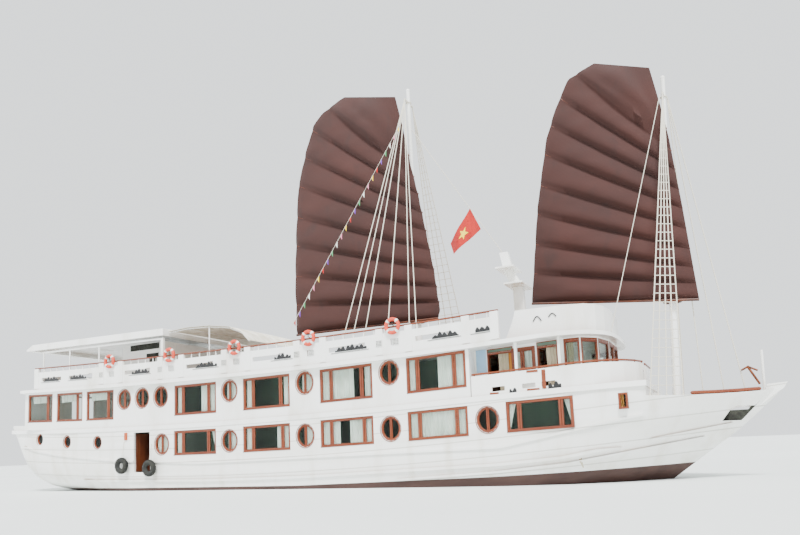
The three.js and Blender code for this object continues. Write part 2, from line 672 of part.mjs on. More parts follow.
// Canopy over the after sun deck: a flat roof on posts, with a rounded awning ahead of it
const CANOPY_AFT_X = -18000;
const CANOPY_FORE_X = -7750;
const CANOPY_HALF = 3700;
const CANOPY_UNDER = 7720;
function canopyRoof() {
  const side = [
    [CANOPY_AFT_X, CANOPY_UNDER + 160], [CANOPY_FORE_X, CANOPY_UNDER], [CANOPY_FORE_X, CANOPY_UNDER + 350],
    [CANOPY_AFT_X + 500, CANOPY_UNDER + 480], [CANOPY_AFT_X, CANOPY_UNDER + 240],
  ];
  const under = [
    [CANOPY_AFT_X + 400, CANOPY_UNDER - 300], [CANOPY_FORE_X - 80, CANOPY_UNDER - 300],
    [CANOPY_FORE_X - 80, CANOPY_UNDER + 260], [CANOPY_AFT_X + 520, CANOPY_UNDER + 380],
    [CANOPY_AFT_X + 400, CANOPY_UNDER + 300],
  ];
  return across(side, -CANOPY_HALF, CANOPY_HALF).subtract(across(under, -CANOPY_HALF + 80, CANOPY_HALF - 80));
}
add("canopy_roof", canopyRoof(), whitePaint);

// Posts of the canopy on one side, under the beam that joins their heads
const POST_XS = [-16740, -14640, -12400];
const COLUMN_X = -7900;
function canopyFrame(side) {
  const y = side * (CANOPY_HALF - 150);
  const head = (x) => CANOPY_UNDER - 100 + (160 * (CANOPY_FORE_X - x)) / (CANOPY_FORE_X - CANOPY_AFT_X);
  const beamSide = band(POST_XS[0] - 60, COLUMN_X + 80, (x) => head(x) - 90, head);
  const beam = across(beamSide, y - 40, y + 40);
  const posts = POST_XS.map((x) => rod([x, y, sunDeckTop(x) + 4], [x, y, head(x) - 20], 38, 8));
  const columnFoot = sunDeckTop(COLUMN_X) + 4;
  const column = box(COLUMN_X - 80, COLUMN_X + 80, y - 60, y + 60, columnFoot, head(COLUMN_X) - 20);
  return join([beam, ...posts, column]);
}
add("canopy_frame_starboard", canopyFrame(-1), whitePaint);
add("canopy_frame_port", canopyFrame(1), whitePaint);

// Bar house under the canopy: thin walls with a serving hatch each side and a doorway aft
const BAR = { aft: -11600, fore: -8600, half: 2700, wall: 70, top: 7640 };
function barHouse() {
  const { aft, fore, half, wall, top } = BAR;
  const foot = sunDeckTop(aft) + GAP;
  const shell = box(aft, fore, -half, half, foot, top);
  const hollow = box(aft + wall, fore - wall, -half + wall, half - wall, foot - 100, top - wall);
  const underDeck = across(band(aft - 10, fore + 10, onEave(-900), (x) => sunDeckTop(x) + GAP), -5000, 5000);
  const hatch = box(aft + 400, fore - 500, -half - 100, half + 100, 7130, 7480);
  const counter = box(fore - 1100, fore - 400, -half - 100, half + 100, 6560, 6950);
  const doorway = box(aft - 100, aft + 200, -450, 450, foot - 100, 7350);
  return cut(shell, [hollow, underDeck, hatch, counter, doorway]);
}
add("bar_house", barHouse(), whitePaint);

// Awning ahead of the canopy: an arched sheet on hoops, drawn down at its front
function awning() {
  const length = 5000;
  const profile = (lift) => [
    [0, 8030 + lift], [1200, 8090 + lift], [2600, 8030 + lift], [3800, 7850 + lift], [4600, 7500 + lift],
    [length, 7060 + lift],
  ];
  const top = profile(0);
  const under = profile(-70).reverse();
  const outline = [...top, ...under].reverse().map(([x, z]) => [CANOPY_FORE_X + 30 + x, z]);
  const sheet = across(outline, -3350, 3350);
  const legX = CANOPY_FORE_X + 2600;
  const legs = [-3250, 3250].map((y) => rod([legX, y, sunDeckTop(legX) + 6], [legX, y, 8050], 32, 8));
  return join([sheet, ...legs]);
}
add("awning", awning(), awningCloth);

// Masts
const FORE_ARM_Z = 15600;
const MAIN_ARM_Z = 18400;
const CROSSTREE = 470; // half length of the arms that spread the shrouds clear of the sail
function foreMastAt(z) {
  return [FORE_MAST_X + FORE_MAST_RAKE * (z - FORE_MAST_FOOT), 0, z];
}
function foreMast() {
  const post = rod(foreMastAt(FOREDECK_TOP + 6), foreMastAt(FORE_MAST_TOP), 165, 14, 85);
  const cap = ball(foreMastAt(FORE_MAST_TOP), 95, 10);
  return join([post, cap]);
}
const foreMastBody = foreMast();
add("fore_mast", foreMastBody, whitePaint);

function mainMast() {
  const foot = eave(MAIN_MAST_X) + SUN_SLAB + 6;
  const post = rod([MAIN_MAST_X, 0, foot], [MAIN_MAST_X, 0, MAIN_MAST_TOP], 175, 14, 85);
  return join([post, ball([MAIN_MAST_X, 0, MAIN_MAST_TOP], 95, 10)]);
}
const mainMastBody = mainMast();
add("main_mast", mainMastBody, whitePaint);

// Sails: outline points clockwise from the peak, then how many battens fan out from leech to luff
const FORE_SAIL = {
  leech: [
    [13550, 17720], [12420, 17290], [11800, 16130], [11300, 14800], [10970, 13130], [10720, 11790],
    [10550, 10440], [10380, 9010], [10210, 7660],
  ],
  luff: [
    [16830, 6980], [16720, 8280], [16510, 10910], [16240, 13780], [16020, 15230], [15730, 16890],
  ],
};
const MAIN_SAIL = {
  leech: [
    [1220, 19510], [-100, 18970], [-670, 18410], [-1210, 16980], [-1690, 15280], [-1870, 13110],
    [-2010, 10480], [-1990, 7600],
  ],
  luff: [
    [5810, 7550], [5920, 7840], [5720, 9690], [5320, 12130], [5060, 13640], [4780, 14940], [4400, 17210],
    [4060, 18760],
  ],
};
const SAIL_Y = -340;
const SAIL_THICK = 36;
const BATTENS = 9;
const BATTEN_FAN = 0.86; // how far down the leech the battens reach, against the luff

function along(line, share) {
  const lengths = line.slice(1).map((p, k) => Math.hypot(p[0] - line[k][0], p[1] - line[k][1]));
  let left = share * lengths.reduce((a, b) => a + b, 0);
  for (let k = 0; k < lengths.length; k++) {
    if (left <= lengths[k]) {
      const t = left / lengths[k];
      return line[k].map((v, j) => v + (line[k + 1][j] - v) * t);
    }
    left -= lengths[k];
  }
  return line[line.length - 1];
}

function sail({ leech, luff }) {
  const sheet = across([...leech, ...luff], SAIL_Y - SAIL_THICK / 2, SAIL_Y + SAIL_THICK / 2);
  const battens = Array.from({ length: BATTENS }, (_, k) => {
    const share = (k + 1) / (BATTENS + 1);
    const [x0, z0] = along(luff, share);
    const [x1, z1] = along(leech, 1 - share * BATTEN_FAN);
    return rod([x0, SAIL_Y, z0], [x1, SAIL_Y, z1], 48, 6);
  });
  return join([sheet, ...battens]);
}

add("fore_sail", sail(FORE_SAIL), sailCloth);
add("main_sail", sail(MAIN_SAIL), sailCloth);

// Booms hold the sails to the masts by a collar
const BOOM_DROP = 57;
function boom(foot, tack, mastX, z) {
  const spar = rod([foot[0], SAIL_Y, foot[1] - BOOM_DROP], [tack[0], SAIL_Y, tack[1] - BOOM_DROP], 55, 8);
  const ring = new THREE.TorusGeometry(330, 45, 6, 20);
  ring.translate(mastX, 0, z);
  const arm = box(mastX - 60, mastX + 60, SAIL_Y - 20, -300, z - 40, z + 40);
  return join([spar, solid(ring), arm]);
}
// The boom of one sail, from its clew to its tack, with the collar where it passes the mast
function sailBoom({ leech, luff }, mastX) {
  const clew = leech[leech.length - 1];
  const tack = luff[0];
  const share = (mastX - clew[0]) / (tack[0] - clew[0]);
  return boom(clew, tack, mastX, clew[1] + (tack[1] - clew[1]) * share - BOOM_DROP);
}
const FORE_COLLAR_Z = 7080;
add("fore_boom", sailBoom(FORE_SAIL, foreMastAt(FORE_COLLAR_Z)[0]), varnish);
add("main_boom", sailBoom(MAIN_SAIL, MAIN_MAST_X), varnish);

// Stays and shrouds: one set for each mast, joined by its crosstree, which keeps them clear of the sail
const LINE = 16;
function stays(head, feet, knot = 45) {
  return join([ball(head, knot), ...feet.map((foot) => rod(foot, head, LINE, 5))]);
}

function ladder(head, feet, rungs) {
  const lines = feet.map((foot) => rod(foot, head, LINE, 4));
  const at = (foot, t) => foot.map((v, k) => v + (head[k] - v) * t);
  const steps = rungs.map((t) => rod(at(feet[0], t), at(feet[feet.length - 1], t), 12, 3));
  return join([ball(head, 45), ...lines, ...steps]);
}

const COLLAR_HOLE = 92; // just over the masts' radius there
const COLLAR_HALF = 150;
function crosstree(x, z) {
  const arms = box(x - 35, x + 35, -CROSSTREE, CROSSTREE, z - 35, z + 35);
  const collar = box(x - COLLAR_HALF, x + COLLAR_HALF, -COLLAR_HALF, COLLAR_HALF, z - 35, z + 35);
  return cut(join([arms, collar]), [rod([x, 0, z - 50], [x, 0, z + 50], COLLAR_HOLE + 10, 14)]);
}

// Where the ropes of one mast meet its crosstree
function ropeHeads(x, z) {
  const under = z - 35;
  return {
    starboard: [x, -CROSSTREE + 10, under],
    port: [x, CROSSTREE - 10, under],
    fore: [x + COLLAR_HALF - 10, 0, under],
  };
}

const RUNG_SHARES = Array.from({ length: 10 }, (_, k) => 0.06 + k * 0.085);
const FOOT_GAP = 8; // air under the foot of each rope

function mainRigging() {
  const heads = ropeHeads(MAIN_MAST_X, MAIN_ARM_Z);
  const onSunDeck = (x, y) => [x, y, sunDeckTop(x) + FOOT_GAP];
  const shroudFeet = [2280, 2790, 3440, 4660, 5790, 6140].map((x) => onSunDeck(x, -3600));
  const ladderFeet = [4430, 5170, 5910].map((x) => onSunDeck(x, 3600));
  return join([
    crosstree(MAIN_MAST_X, MAIN_ARM_Z),
    stays(heads.starboard, shroudFeet),
    ladder(heads.port, ladderFeet, RUNG_SHARES),
  ]);
}
add("main_rigging", mainRigging(), ropeWhite);

function foreRigging() {
  const heads = ropeHeads(foreMastAt(FORE_ARM_Z)[0], FORE_ARM_Z);
  const onBulwark = (x, y) => [x, y, bulwarkLine(x) + FOOT_GAP];
  const ladderFeet = [14980, 15520, 16060].map((x) => onBulwark(x, -(capHalf(x) - 55)));
  const bowFeet = [16690, 17480, 18250].map((x) => [x, 0, FOREDECK_TOP + 60]);
  return join([
    crosstree(foreMastAt(FORE_ARM_Z)[0], FORE_ARM_Z),
    ladder(heads.starboard, ladderFeet, RUNG_SHARES),
    stays(heads.port, [onBulwark(15840, 2680)]),
    stays(heads.fore, bowFeet),
  ]);
}
add("fore_rigging", foreRigging(), ropeWhite);
add("main_fore_stay", rod([8920, 0, 10200], [MAIN_MAST_X + 130, 0, 17000], LINE, 6), ropeWhite);

// Flag on the fore stay of the main mast
function flag() {
  const outline = [[7520, 12500], [8000, 11430], [6610, 10480], [6450, 11030]];
  return across(outline, -40, -20);
}
add("flag", flag(), flagRed);

// Foredeck fittings
function stair() {
  const top = FOREDECK_TOP + 780;
  const [going, rise] = [230, 190];
  const steps = [0, 1, 2, 3].map((k) => {
    const x = HOUSE_FORE_X + 55 + k * going;
    return box(x, x + going + 20, -STAIR_OUT + 30, -STAIR_IN - 30, FOREDECK_TOP + 6, top - k * rise);
  });
  return join(steps);
}
add("fore_stair", stair(), whitePaint);

function windlass() {
  const z = FOREDECK_TOP;
  const drum = rod([17000, -420, z + 330], [17000, 420, z + 330], 130, 12);
  const cheeks = [-300, 300].map((y) => box(16850, 17150, y - 40, y + 40, z + 6, z + 420));
  return join([drum, ...cheeks]);
}
add("windlass", windlass(), rust);

function anchor() {
  const shank = rod([18650, -60, 3480], [18300, -60, 4150], 45, 8);
  const arms = [[18060, -60, 4050], [18300, -60, 4170], [18620, -60, 4000]];
  return join([shank, rod(arms[0], arms[1], 40, 6), rod(arms[1], arms[2], 40, 6), ball(arms[1], 50)]);
}
add("anchor", anchor(), rust);

// Brown cap rails on the bow bulwark
function capRail(side) {
  const xs = stations(16350, 18600, 750);
  const parts = xs.slice(1).map((x, k) => {
    const ends = [xs[k], x].map((sx) => [sx, side * (capHalf(sx) - 60), bulwarkLine(sx) + 75]);
    return rod(ends[0], ends[1], 68, 6);
  });
  const knobs = xs.map((x) => ball([x, side * (capHalf(x) - 60), bulwarkLine(x) + 75], 68));
  return join([...parts, ...knobs]);
}
function capHalf(x) {
  const k = SECTIONS.findIndex(([sx]) => sx > x);
  const [a, b] = [SECTIONS[k - 1], SECTIONS[k]];
  const share = (x - a[0]) / (b[0] - a[0]);
  const half = (s) => halfBreadth(s, 0, (bulwarkLine(x) - s[1]) / (HULL_TOP - s[1]));
  return half(a) + (half(b) - half(a)) * share;
}
add("cap_rail_starboard", capRail(-1), varnish);
add("cap_rail_port", capRail(1), varnish);

add("jack_staff", rod([18800, 240, bulwarkLine(18800) + 8], [18820, 240, 4800], 50, 8), whitePaint);

// Propellers, shafts and rudders
const hullLowered = (drop) => hullForm(0, -drop);
const SHAFT_Y = 1350;
const RUDDER_CLEARANCE = 8;
const SCREW_X = -13300;
const SCREW_Z = -1150;
for (const [label, side] of SIDES) {
  const y = side * SHAFT_Y;
  const hub = rod([SCREW_X - 130, y, SCREW_Z], [SCREW_X + 130, y, SCREW_Z], 95, 12);
  const blades = Array.from({ length: 4 }, (_, k) => {
    const blade = new THREE.BoxGeometry(120, 260, 400);
    blade.translate(0, 0, 260);
    const turn = new THREE.Matrix4().makeRotationX((k * Math.PI) / 2);
    const pitch = new THREE.Matrix4().makeRotationZ(0.6);
    blade.applyMatrix4(pitch);
    blade.applyMatrix4(turn);
    blade.translate(SCREW_X, y, SCREW_Z);
    return solid(blade);
  });
  add(`propeller_${label}`, join([hub, ...blades]), bronze);
  const shaft = rod([SCREW_X + 136, y, SCREW_Z], [-9500, y, SCREW_Z + 330], 48, 10);
  const strut = across([[-12900, SCREW_Z], [-12700, SCREW_Z], [-12500, 200], [-12800, 200]], y - 30, y + 30);
  add(`shaft_${label}`, join([shaft, strut]).subtract(hullLowered(GAP)), steel);
  const bladeSide = [[-14750, -1800], [-14050, -1800], [-13950, -700], [-14150, -330], [-14650, -330]];
  const blade = across(bladeSide, y - 35, y + 35);
  const stock = rod([-14200, y, -1700], [-14200, y, -150], 60, 10);
  add(`rudder_${label}`, join([blade, stock]).subtract(hullLowered(RUDDER_CLEARANCE)), brownPaint);
}

// Tyre fenders by the boarding door
for (const [label, side] of SIDES)
  for (const [place, x, z] of [["aft", -10270, 1290], ["fore", -8400, 1130]]) {
    const tyre = new THREE.TorusGeometry(290, 120, 8, 16);
    tyre.rotateX(Math.PI / 2);
    tyre.translate(x, side * (HALF_HOUSE + 215), z);
    add(`tyre_fender_${place}_${label}`, solid(tyre), tyreRubber);
  }

// Doors: hinge at the leaf's edge, swung from closed by an angle that turns them inboard
function door(name, hinge, width, low, high, degrees) {
  const node = add(name, box(12, width, -22, 22, 0, high - low), varnish);
  node.position.set(hinge[0], hinge[1], low);
  node.rotation.z = THREE.MathUtils.degToRad(degrees);
}

// x of the doorway, its width, the wall's half breadth, foot and head above the deck line, swing at rest
const [LEAF_FOOT, LEAF_HEAD] = [UPPER_DECK_TOP + 100, GALLERY_HEAD - 60];
const DOORS = [
  ["boarding_door", SIDE_DOOR_X, SIDE_DOOR_WIDTH, HALF_HOUSE, LOWER_FLOOR + 95, 2950, 80],
  ["gallery_door", GALLERY_DOOR_X, GALLERY_DOOR_WIDTH, HALF_GALLERY, LEAF_FOOT, LEAF_HEAD, 85],
  ["bridge_door", BRIDGE_DOOR_X, BRIDGE_DOOR_WIDTH, HALF_GALLERY, LEAF_FOOT, LEAF_HEAD, 85],
];
for (const [name, x, width, half, foot, head, swing] of DOORS)
  for (const [label, side] of SIDES) {
    const hinge = [x - width / 2 + 60, side * (half - WALL / 2)];
    door(`${name}_${label}`, hinge, width - 110, sheer(x) + foot, sheer(x) + head, -side * swing);
  }

export default group;
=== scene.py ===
"""A three-deck wooden cruising junk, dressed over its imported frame.

Everything is in metres: +X to the bow, +Y to port, +Z up, with the water surface at z = 0.
"""

import json
import math

import bmesh
import bpy
from mathutils import Matrix, Vector, noise
from mathutils.bvhtree import BVHTree

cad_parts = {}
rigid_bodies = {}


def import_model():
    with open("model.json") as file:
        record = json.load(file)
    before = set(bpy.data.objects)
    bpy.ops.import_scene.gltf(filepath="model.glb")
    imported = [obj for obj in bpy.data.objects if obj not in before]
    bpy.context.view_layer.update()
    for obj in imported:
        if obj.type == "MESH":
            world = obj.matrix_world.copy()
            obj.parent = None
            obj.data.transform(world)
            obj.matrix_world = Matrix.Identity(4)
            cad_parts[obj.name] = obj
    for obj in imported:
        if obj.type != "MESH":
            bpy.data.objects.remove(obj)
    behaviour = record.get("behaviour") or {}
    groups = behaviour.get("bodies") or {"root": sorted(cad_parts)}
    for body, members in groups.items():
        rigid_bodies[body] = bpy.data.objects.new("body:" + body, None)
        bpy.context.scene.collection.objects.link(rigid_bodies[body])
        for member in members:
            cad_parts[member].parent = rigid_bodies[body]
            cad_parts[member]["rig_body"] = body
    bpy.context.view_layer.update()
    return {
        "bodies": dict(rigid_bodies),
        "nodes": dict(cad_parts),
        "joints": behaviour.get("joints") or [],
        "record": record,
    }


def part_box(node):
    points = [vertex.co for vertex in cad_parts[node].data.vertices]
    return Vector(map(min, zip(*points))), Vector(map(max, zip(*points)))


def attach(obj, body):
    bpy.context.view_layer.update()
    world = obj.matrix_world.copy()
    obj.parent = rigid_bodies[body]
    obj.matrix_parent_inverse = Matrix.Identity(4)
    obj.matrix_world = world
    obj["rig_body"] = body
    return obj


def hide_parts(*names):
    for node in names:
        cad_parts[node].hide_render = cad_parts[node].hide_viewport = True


bl_info = {
    "name": "Cruising junk ship",
    "version": (1, 0, 0),
    "blender": (4, 5, 0),
    "location": "View3D > Sidebar > Junk",
    "description": "Dresses a cruising junk's packed frame with planking, windows, sails and rigging",
    "category": "Object",
}

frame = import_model()
NODES = frame["nodes"]

# Both sides of the ship: label, sign of y
SIDES = (("starboard", -1), ("port", 1))

# Lines of the ship that windows and rails follow
PITCH = 4.2
FIRST_WINDOW = -5.65
FRAME_STEP = 2.0
SHEER_LOW = (-5.65, -0.1)
SHEER_RATE = 0.0015
SHEER_STRAIGHT = (8.0, 0.033)  # where it runs straight, and its slope there
EAVE_LOW = (-1.4, 5.23)
EAVE_RATES = (0.0009, 0.0018)  # aft and fore of its lowest place
EAVE_STRAIGHT = (12.0, 0.024)
LOWER_FLOOR = 0.95
LOWER_LIGHT = (1.792, 2.982)  # sill and head above the deck line
UPPER_DECK_TOP = 3.3
UPPER_LIGHT = (3.724, 5.207)
SALOON_LIGHT = (3.724, 5.267)
LOWER_ROUND = 2.361
UPPER_ROUND = 4.704
ROUND_SIZE = (0.92, 1.02)
OVAL_SIDES = 28
WALL = 0.11
SUN_SLAB = 0.16


def between_frames(curve, x):
    """A curve drawn as straight runs between frames."""
    aft = math.floor(x / FRAME_STEP) * FRAME_STEP
    share = (x - aft) / FRAME_STEP
    return curve(aft) * (1 - share) + curve(aft + FRAME_STEP) * share


def bent(x, low, rate, straight):
    """A line that curves up from its lowest place, and runs straight from a place on."""
    start, slope = straight
    return low[1] + rate * (min(x, start) - low[0]) ** 2 + slope * max(0, x - start)


def sheer(x):
    """Height of the deck line."""
    return between_frames(lambda s: bent(s, SHEER_LOW, SHEER_RATE, SHEER_STRAIGHT), x)


def eave(x):
    """Height of the underside of the sun deck."""
    return between_frames(lambda s: bent(s, EAVE_LOW, EAVE_RATES[s >= EAVE_LOW[0]], EAVE_STRAIGHT), x)


def sun_deck_top(x):
    return eave(x) + SUN_SLAB


def linear(code):
    """An sRGB hex colour as linear red, green, blue and alpha."""
    parts = [int(code[i : i + 2], 16) / 255 for i in (1, 3, 5)]
    return (*[c / 12.92 if c < 0.04045 else ((c + 0.055) / 1.055) ** 2.4 for c in parts], 1.0)


# Settings


def colour_setting(name, description, code):
    return bpy.props.FloatVectorProperty(
        name=name, description=description, default=linear(code), subtype="COLOR", size=4, min=0, max=1
    )


def length_setting(name, description, metres):
    return bpy.props.FloatProperty(name=name, description=description, default=metres, unit="LENGTH", min=0)


class JunkColours(bpy.types.PropertyGroup):
    """Colours of the ship's finishes."""

    enamel: colour_setting("Enamel", "Marine enamel on hull and cabins", "#f8f8f5")
    boot_top: colour_setting("Boot top", "Antifouling below the waterline stripe", "#42271f")
    varnish: colour_setting("Varnish", "Varnished hardwood of frames and rails", "#782e08")
    canvas: colour_setting("Sail canvas", "Dyed canvas of the sails", "#2e0d05")
    awning: colour_setting("Awning", "Canvas of the awning", "#f6f2e4")
    flag: colour_setting("Flag", "Field of the flag", "#b81c12")
    ring: colour_setting("Life ring", "Shell of the life rings", "#d8452a")


class JunkSizes(bpy.types.PropertyGroup):
    """Sizes of the ship's finer pieces."""

    frame_width: length_setting("Window frame", "Width of a window frame's face", 0.1)
    frame_recess: length_setting("Frame recess", "How far a window frame is set back in its wall", 0.035)
    mullion: length_setting("Mullion", "Width of the posts between a window's panes", 0.17)
    rope: length_setting("Rope", "Diameter of the shrouds and stays", 0.044)
    rung_gap: length_setting("Rung spacing", "Spacing of the rope ladders' rungs", 0.36)
    billow: length_setting("Billow", "How far the sail stands off between its battens", 0.26)
    plank: length_setting("Plank", "Width of a hull plank", 0.34)


# Mesh helpers


def block(bm, x0, x1, y0, y1, z0, z1):
    """A box between two corners."""
    centre = Vector(((x0 + x1) / 2, (y0 + y1) / 2, (z0 + z1) / 2))
    size = Matrix.Diagonal((abs(x1 - x0), abs(y1 - y0), abs(z1 - z0), 1))
    return bmesh.ops.create_cube(bm, size=1, matrix=Matrix.Translation(centre) @ size)["verts"]


def bar(bm, a, b, radius, sides=8):
    """A round bar from one point to another."""
    a, b = Vector(a), Vector(b)
    turn = (b - a).to_track_quat("Z", "Y").to_matrix().to_4x4()
    bmesh.ops.create_cone(
        bm,
        cap_ends=True,
        segments=sides,
        radius1=radius,
        radius2=radius,
        depth=(b - a).length,
        matrix=Matrix.Translation((a + b) / 2) @ turn,
    )


def knob(bm, centre, radius, sides=10):
    """A small ball."""
    place = Matrix.Translation(Vector(centre))
    rings = max(4, sides // 2)
    bmesh.ops.create_uvsphere(bm, u_segments=sides, v_segments=rings, radius=radius, matrix=place)


def hoop(bm, centre, radius, thickness, steps=32, sides=12, axis=(0, 1, 0)):
    """A ring round an axis through its centre, by a full spin of its section."""
    centre, axis = Vector(centre), Vector(axis).normalized()
    out = axis.orthogonal().normalized()
    turn = Matrix((out, axis, out.cross(axis))).transposed().to_4x4()
    place = Matrix.Translation(centre + out * radius) @ turn
    made = bmesh.ops.create_circle(bm, segments=sides, radius=thickness, matrix=place)
    edges = list({e for v in made["verts"] for e in v.link_edges})
    bmesh.ops.spin(
        bm, geom=made["verts"] + edges, cent=centre, axis=axis, angle=2 * math.pi, steps=steps, use_merge=True
    )


def plate(bm, outline, y0, y1):
    """An outline of (x, z) points, made a plate between two places across the ship."""
    face = bm.faces.new([bm.verts.new((x, y0, z)) for x, z in outline])
    made = bmesh.ops.extrude_face_region(bm, geom=[face])["geom"]
    tops = [v for v in made if isinstance(v, bmesh.types.BMVert)]
    bmesh.ops.translate(bm, vec=(0, y1 - y0, 0), verts=tops)


def rim(bm, outline, width, y0, y1):
    """A frame inside an outline of (x, z) points: its face is as wide as width."""
    face = bm.faces.new([bm.verts.new((x, y0, z)) for x, z in outline])
    face.normal_update()
    ring = bmesh.ops.inset_individual(bm, faces=[face], thickness=width, use_even_offset=True)["faces"]
    bmesh.ops.delete(bm, geom=[face], context="FACES_ONLY")
    made = bmesh.ops.extrude_face_region(bm, geom=ring)["geom"]
    tops = [v for v in made if isinstance(v, bmesh.types.BMVert)]
    bmesh.ops.translate(bm, vec=(0, y1 - y0, 0), verts=tops)


def grown(outline, by):
    """A convex outline moved outwards, away from its middle, by about that much on each axis."""
    mid_x = sum(x for x, _ in outline) / len(outline)
    mid_z = sum(z for _, z in outline) / len(outline)
    half_x = max(x for x, _ in outline) - mid_x
    half_z = max(z for _, z in outline) - mid_z
    wider, taller = 1 + by / half_x, 1 + by / half_z
    return [(mid_x + (x - mid_x) * wider, mid_z + (z - mid_z) * taller) for x, z in outline]


def oval(x, z, width, height):
    """A round window's outline."""
    turns = [2 * math.pi * (k + 0.5) / OVAL_SIDES for k in range(OVAL_SIDES)]
    return [(x + width / 2 * math.cos(a), z + height / 2 * math.sin(a)) for a in turns]


def sheared(x0, x1, low, high, line=sheer):
    """A four-cornered outline whose sill and head follow a line of the ship."""
    return [(x0, line(x0) + low), (x1, line(x1) + low), (x1, line(x1) + high), (x0, line(x0) + high)]


def paint(bm, before, number):
    """Gives the faces made since then their material number."""
    for face in set(bm.faces) - before:
        face.material_index = number


def smooth_by_angle(bm, degrees=32):
    """Faces shade smooth, and edges sharper than the angle stay sharp."""
    for face in bm.faces:
        face.smooth = True
    for edge in bm.edges:
        edge.smooth = edge.is_manifold and edge.calc_face_angle(0) < math.radians(degrees)


def finished(
    bm, name, materials, body="ship", replaces=(), bevel=0.0, outward=True, angle=32
):
    """The mesh as a piece that rides on a body. Materials follow the faces' material numbers."""
    if outward:
        bmesh.ops.recalc_face_normals(bm, faces=bm.faces)
    smooth_by_angle(bm, angle)
    mesh = bpy.data.meshes.new(name)
    bm.to_mesh(mesh)
    bm.free()
    for material in materials:
        mesh.materials.append(material)
    piece = bpy.data.objects.new(name, mesh)
    bpy.context.scene.collection.objects.link(piece)
    if bevel:
        rounding = piece.modifiers.new("Rounded edges", "BEVEL")
        rounding.width = bevel
        rounding.segments = 2
        rounding.limit_method = "ANGLE"
        rounding.angle_limit = math.radians(40)
    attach(piece, body)
    if replaces:
        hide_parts(*replaces)
    return piece


def copy_of(node):
    """A node's mesh with its loose triangles merged, ready to dress."""
    bm = bmesh.new()
    bm.from_mesh(NODES[node].data)
    bmesh.ops.remove_doubles(bm, verts=bm.verts, dist=0.0002)
    return bm


def node_body(node):
    return NODES[node]["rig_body"]


def dress(node, *materials):
    """Gives a solid its material."""
    mesh = NODES[node].data
    mesh.materials.clear()
    for material in materials:
        mesh.materials.append(material)


WALL_TREES = {}  # a search tree for each wall that was measured


def wall_at(node, x, z, side):
    """How far from the centreline the outside of a node is, at that place along and up the ship."""
    if node not in WALL_TREES:
        bm = copy_of(node)
        WALL_TREES[node] = BVHTree.FromBMesh(bm)
        bm.free()
    hit = WALL_TREES[node].ray_cast(Vector((x, side * 9, z)), Vector((0, -side, 0)))[0]
    if hit is None:
        raise RuntimeError(f"{node} has no wall at x {x:.2f}, z {z:.2f}")
    return abs(hit.y)


# Materials


def wire(node, sockets):
    """Gives each socket of a node a value, or the socket that feeds it."""
    for key, value in sockets.items():
        if isinstance(value, bpy.types.NodeSocket):
            node.id_data.links.new(value, node.inputs[key])
        else:
            node.inputs[key].default_value = value


def put(tree, kind, sockets=None, **settings):
    """Adds a node with its settings and links."""
    node = tree.nodes.new(kind)
    for key, value in settings.items():
        setattr(node, key, value)
    wire(node, sockets or {})
    return node


def blank(name):
    """A material with a bare shader: material, its tree and the shader."""
    material = bpy.data.materials.new(name)
    material.use_nodes = True
    tree = material.node_tree
    return material, tree, tree.nodes["Principled BSDF"]


def speckle(tree, scale, stretch=(1, 1, 1), detail=3.0):
    """Noise over the object's own coordinates: scale is how many blotches fit in a metre."""
    spot = put(tree, "ShaderNodeTexCoord").outputs["Object"]
    place = put(tree, "ShaderNodeMapping", {"Vector": spot, "Scale": stretch}).outputs["Vector"]
    sockets = {"Vector": place, "Scale": scale, "Detail": detail}
    return put(tree, "ShaderNodeTexNoise", sockets).outputs["Fac"]


def spread(tree, value, low, high, to_low=0.0, to_high=1.0):
    """A value stretched from one range to another, and kept inside it."""
    sockets = {"Value": value, "From Min": low, "From Max": high, "To Min": to_low, "To Max": to_high}
    return put(tree, "ShaderNodeMapRange", sockets).outputs["Result"]


def blended(tree, share, first, second):
    """Two colours mixed by a share."""
    sockets = {"Factor": share, "A": first, "B": second}
    return put(tree, "ShaderNodeMix", sockets, data_type="RGBA").outputs["Result"]


def relief(tree, shader, height, distance):
    """Raises the surface by a height from 0 to 1, that many metres at most."""
    bump = put(tree, "ShaderNodeBump", {"Height": height, "Distance": distance, "Strength": 1.0})
    wire(shader, {"Normal": bump.outputs["Normal"]})


def swept_height(tree):
    """Height above a line that sweeps up to the bow and stern as the hull's planks do."""
    spot = put(tree, "ShaderNodeTexCoord").outputs["Object"]
    parts = put(tree, "ShaderNodeSeparateXYZ", {"Vector": spot}).outputs
    away = put(tree, "ShaderNodeMath", {0: parts["X"], 1: -SHEER_LOW[0]}, operation="ADD").outputs[0]
    square = put(tree, "ShaderNodeMath", {0: away, 1: 2.0}, operation="POWER").outputs[0]
    rise = put(tree, "ShaderNodeMath", {0: square, 1: -0.0022}, operation="MULTIPLY").outputs[0]
    return put(tree, "ShaderNodeMath", {0: parts["Z"], 1: rise}, operation="ADD").outputs[0]


def seam_lines(tree, axis, spacing, gap):
    """1 on a plank and 0 in the seams, which cross one axis at that spacing."""
    if axis == "swept":
        along = swept_height(tree)
    else:
        spot = put(tree, "ShaderNodeTexCoord").outputs["Object"]
        along = put(tree, "ShaderNodeSeparateXYZ", {"Vector": spot}).outputs[axis]
    rows = put(tree, "ShaderNodeMath", {0: along, 1: 1 / spacing}, operation="MULTIPLY").outputs[0]
    part = put(tree, "ShaderNodeMath", {0: rows, 1: 1.0}, operation="PINGPONG").outputs[0]
    return spread(tree, part, 0.0, gap / spacing * 2)


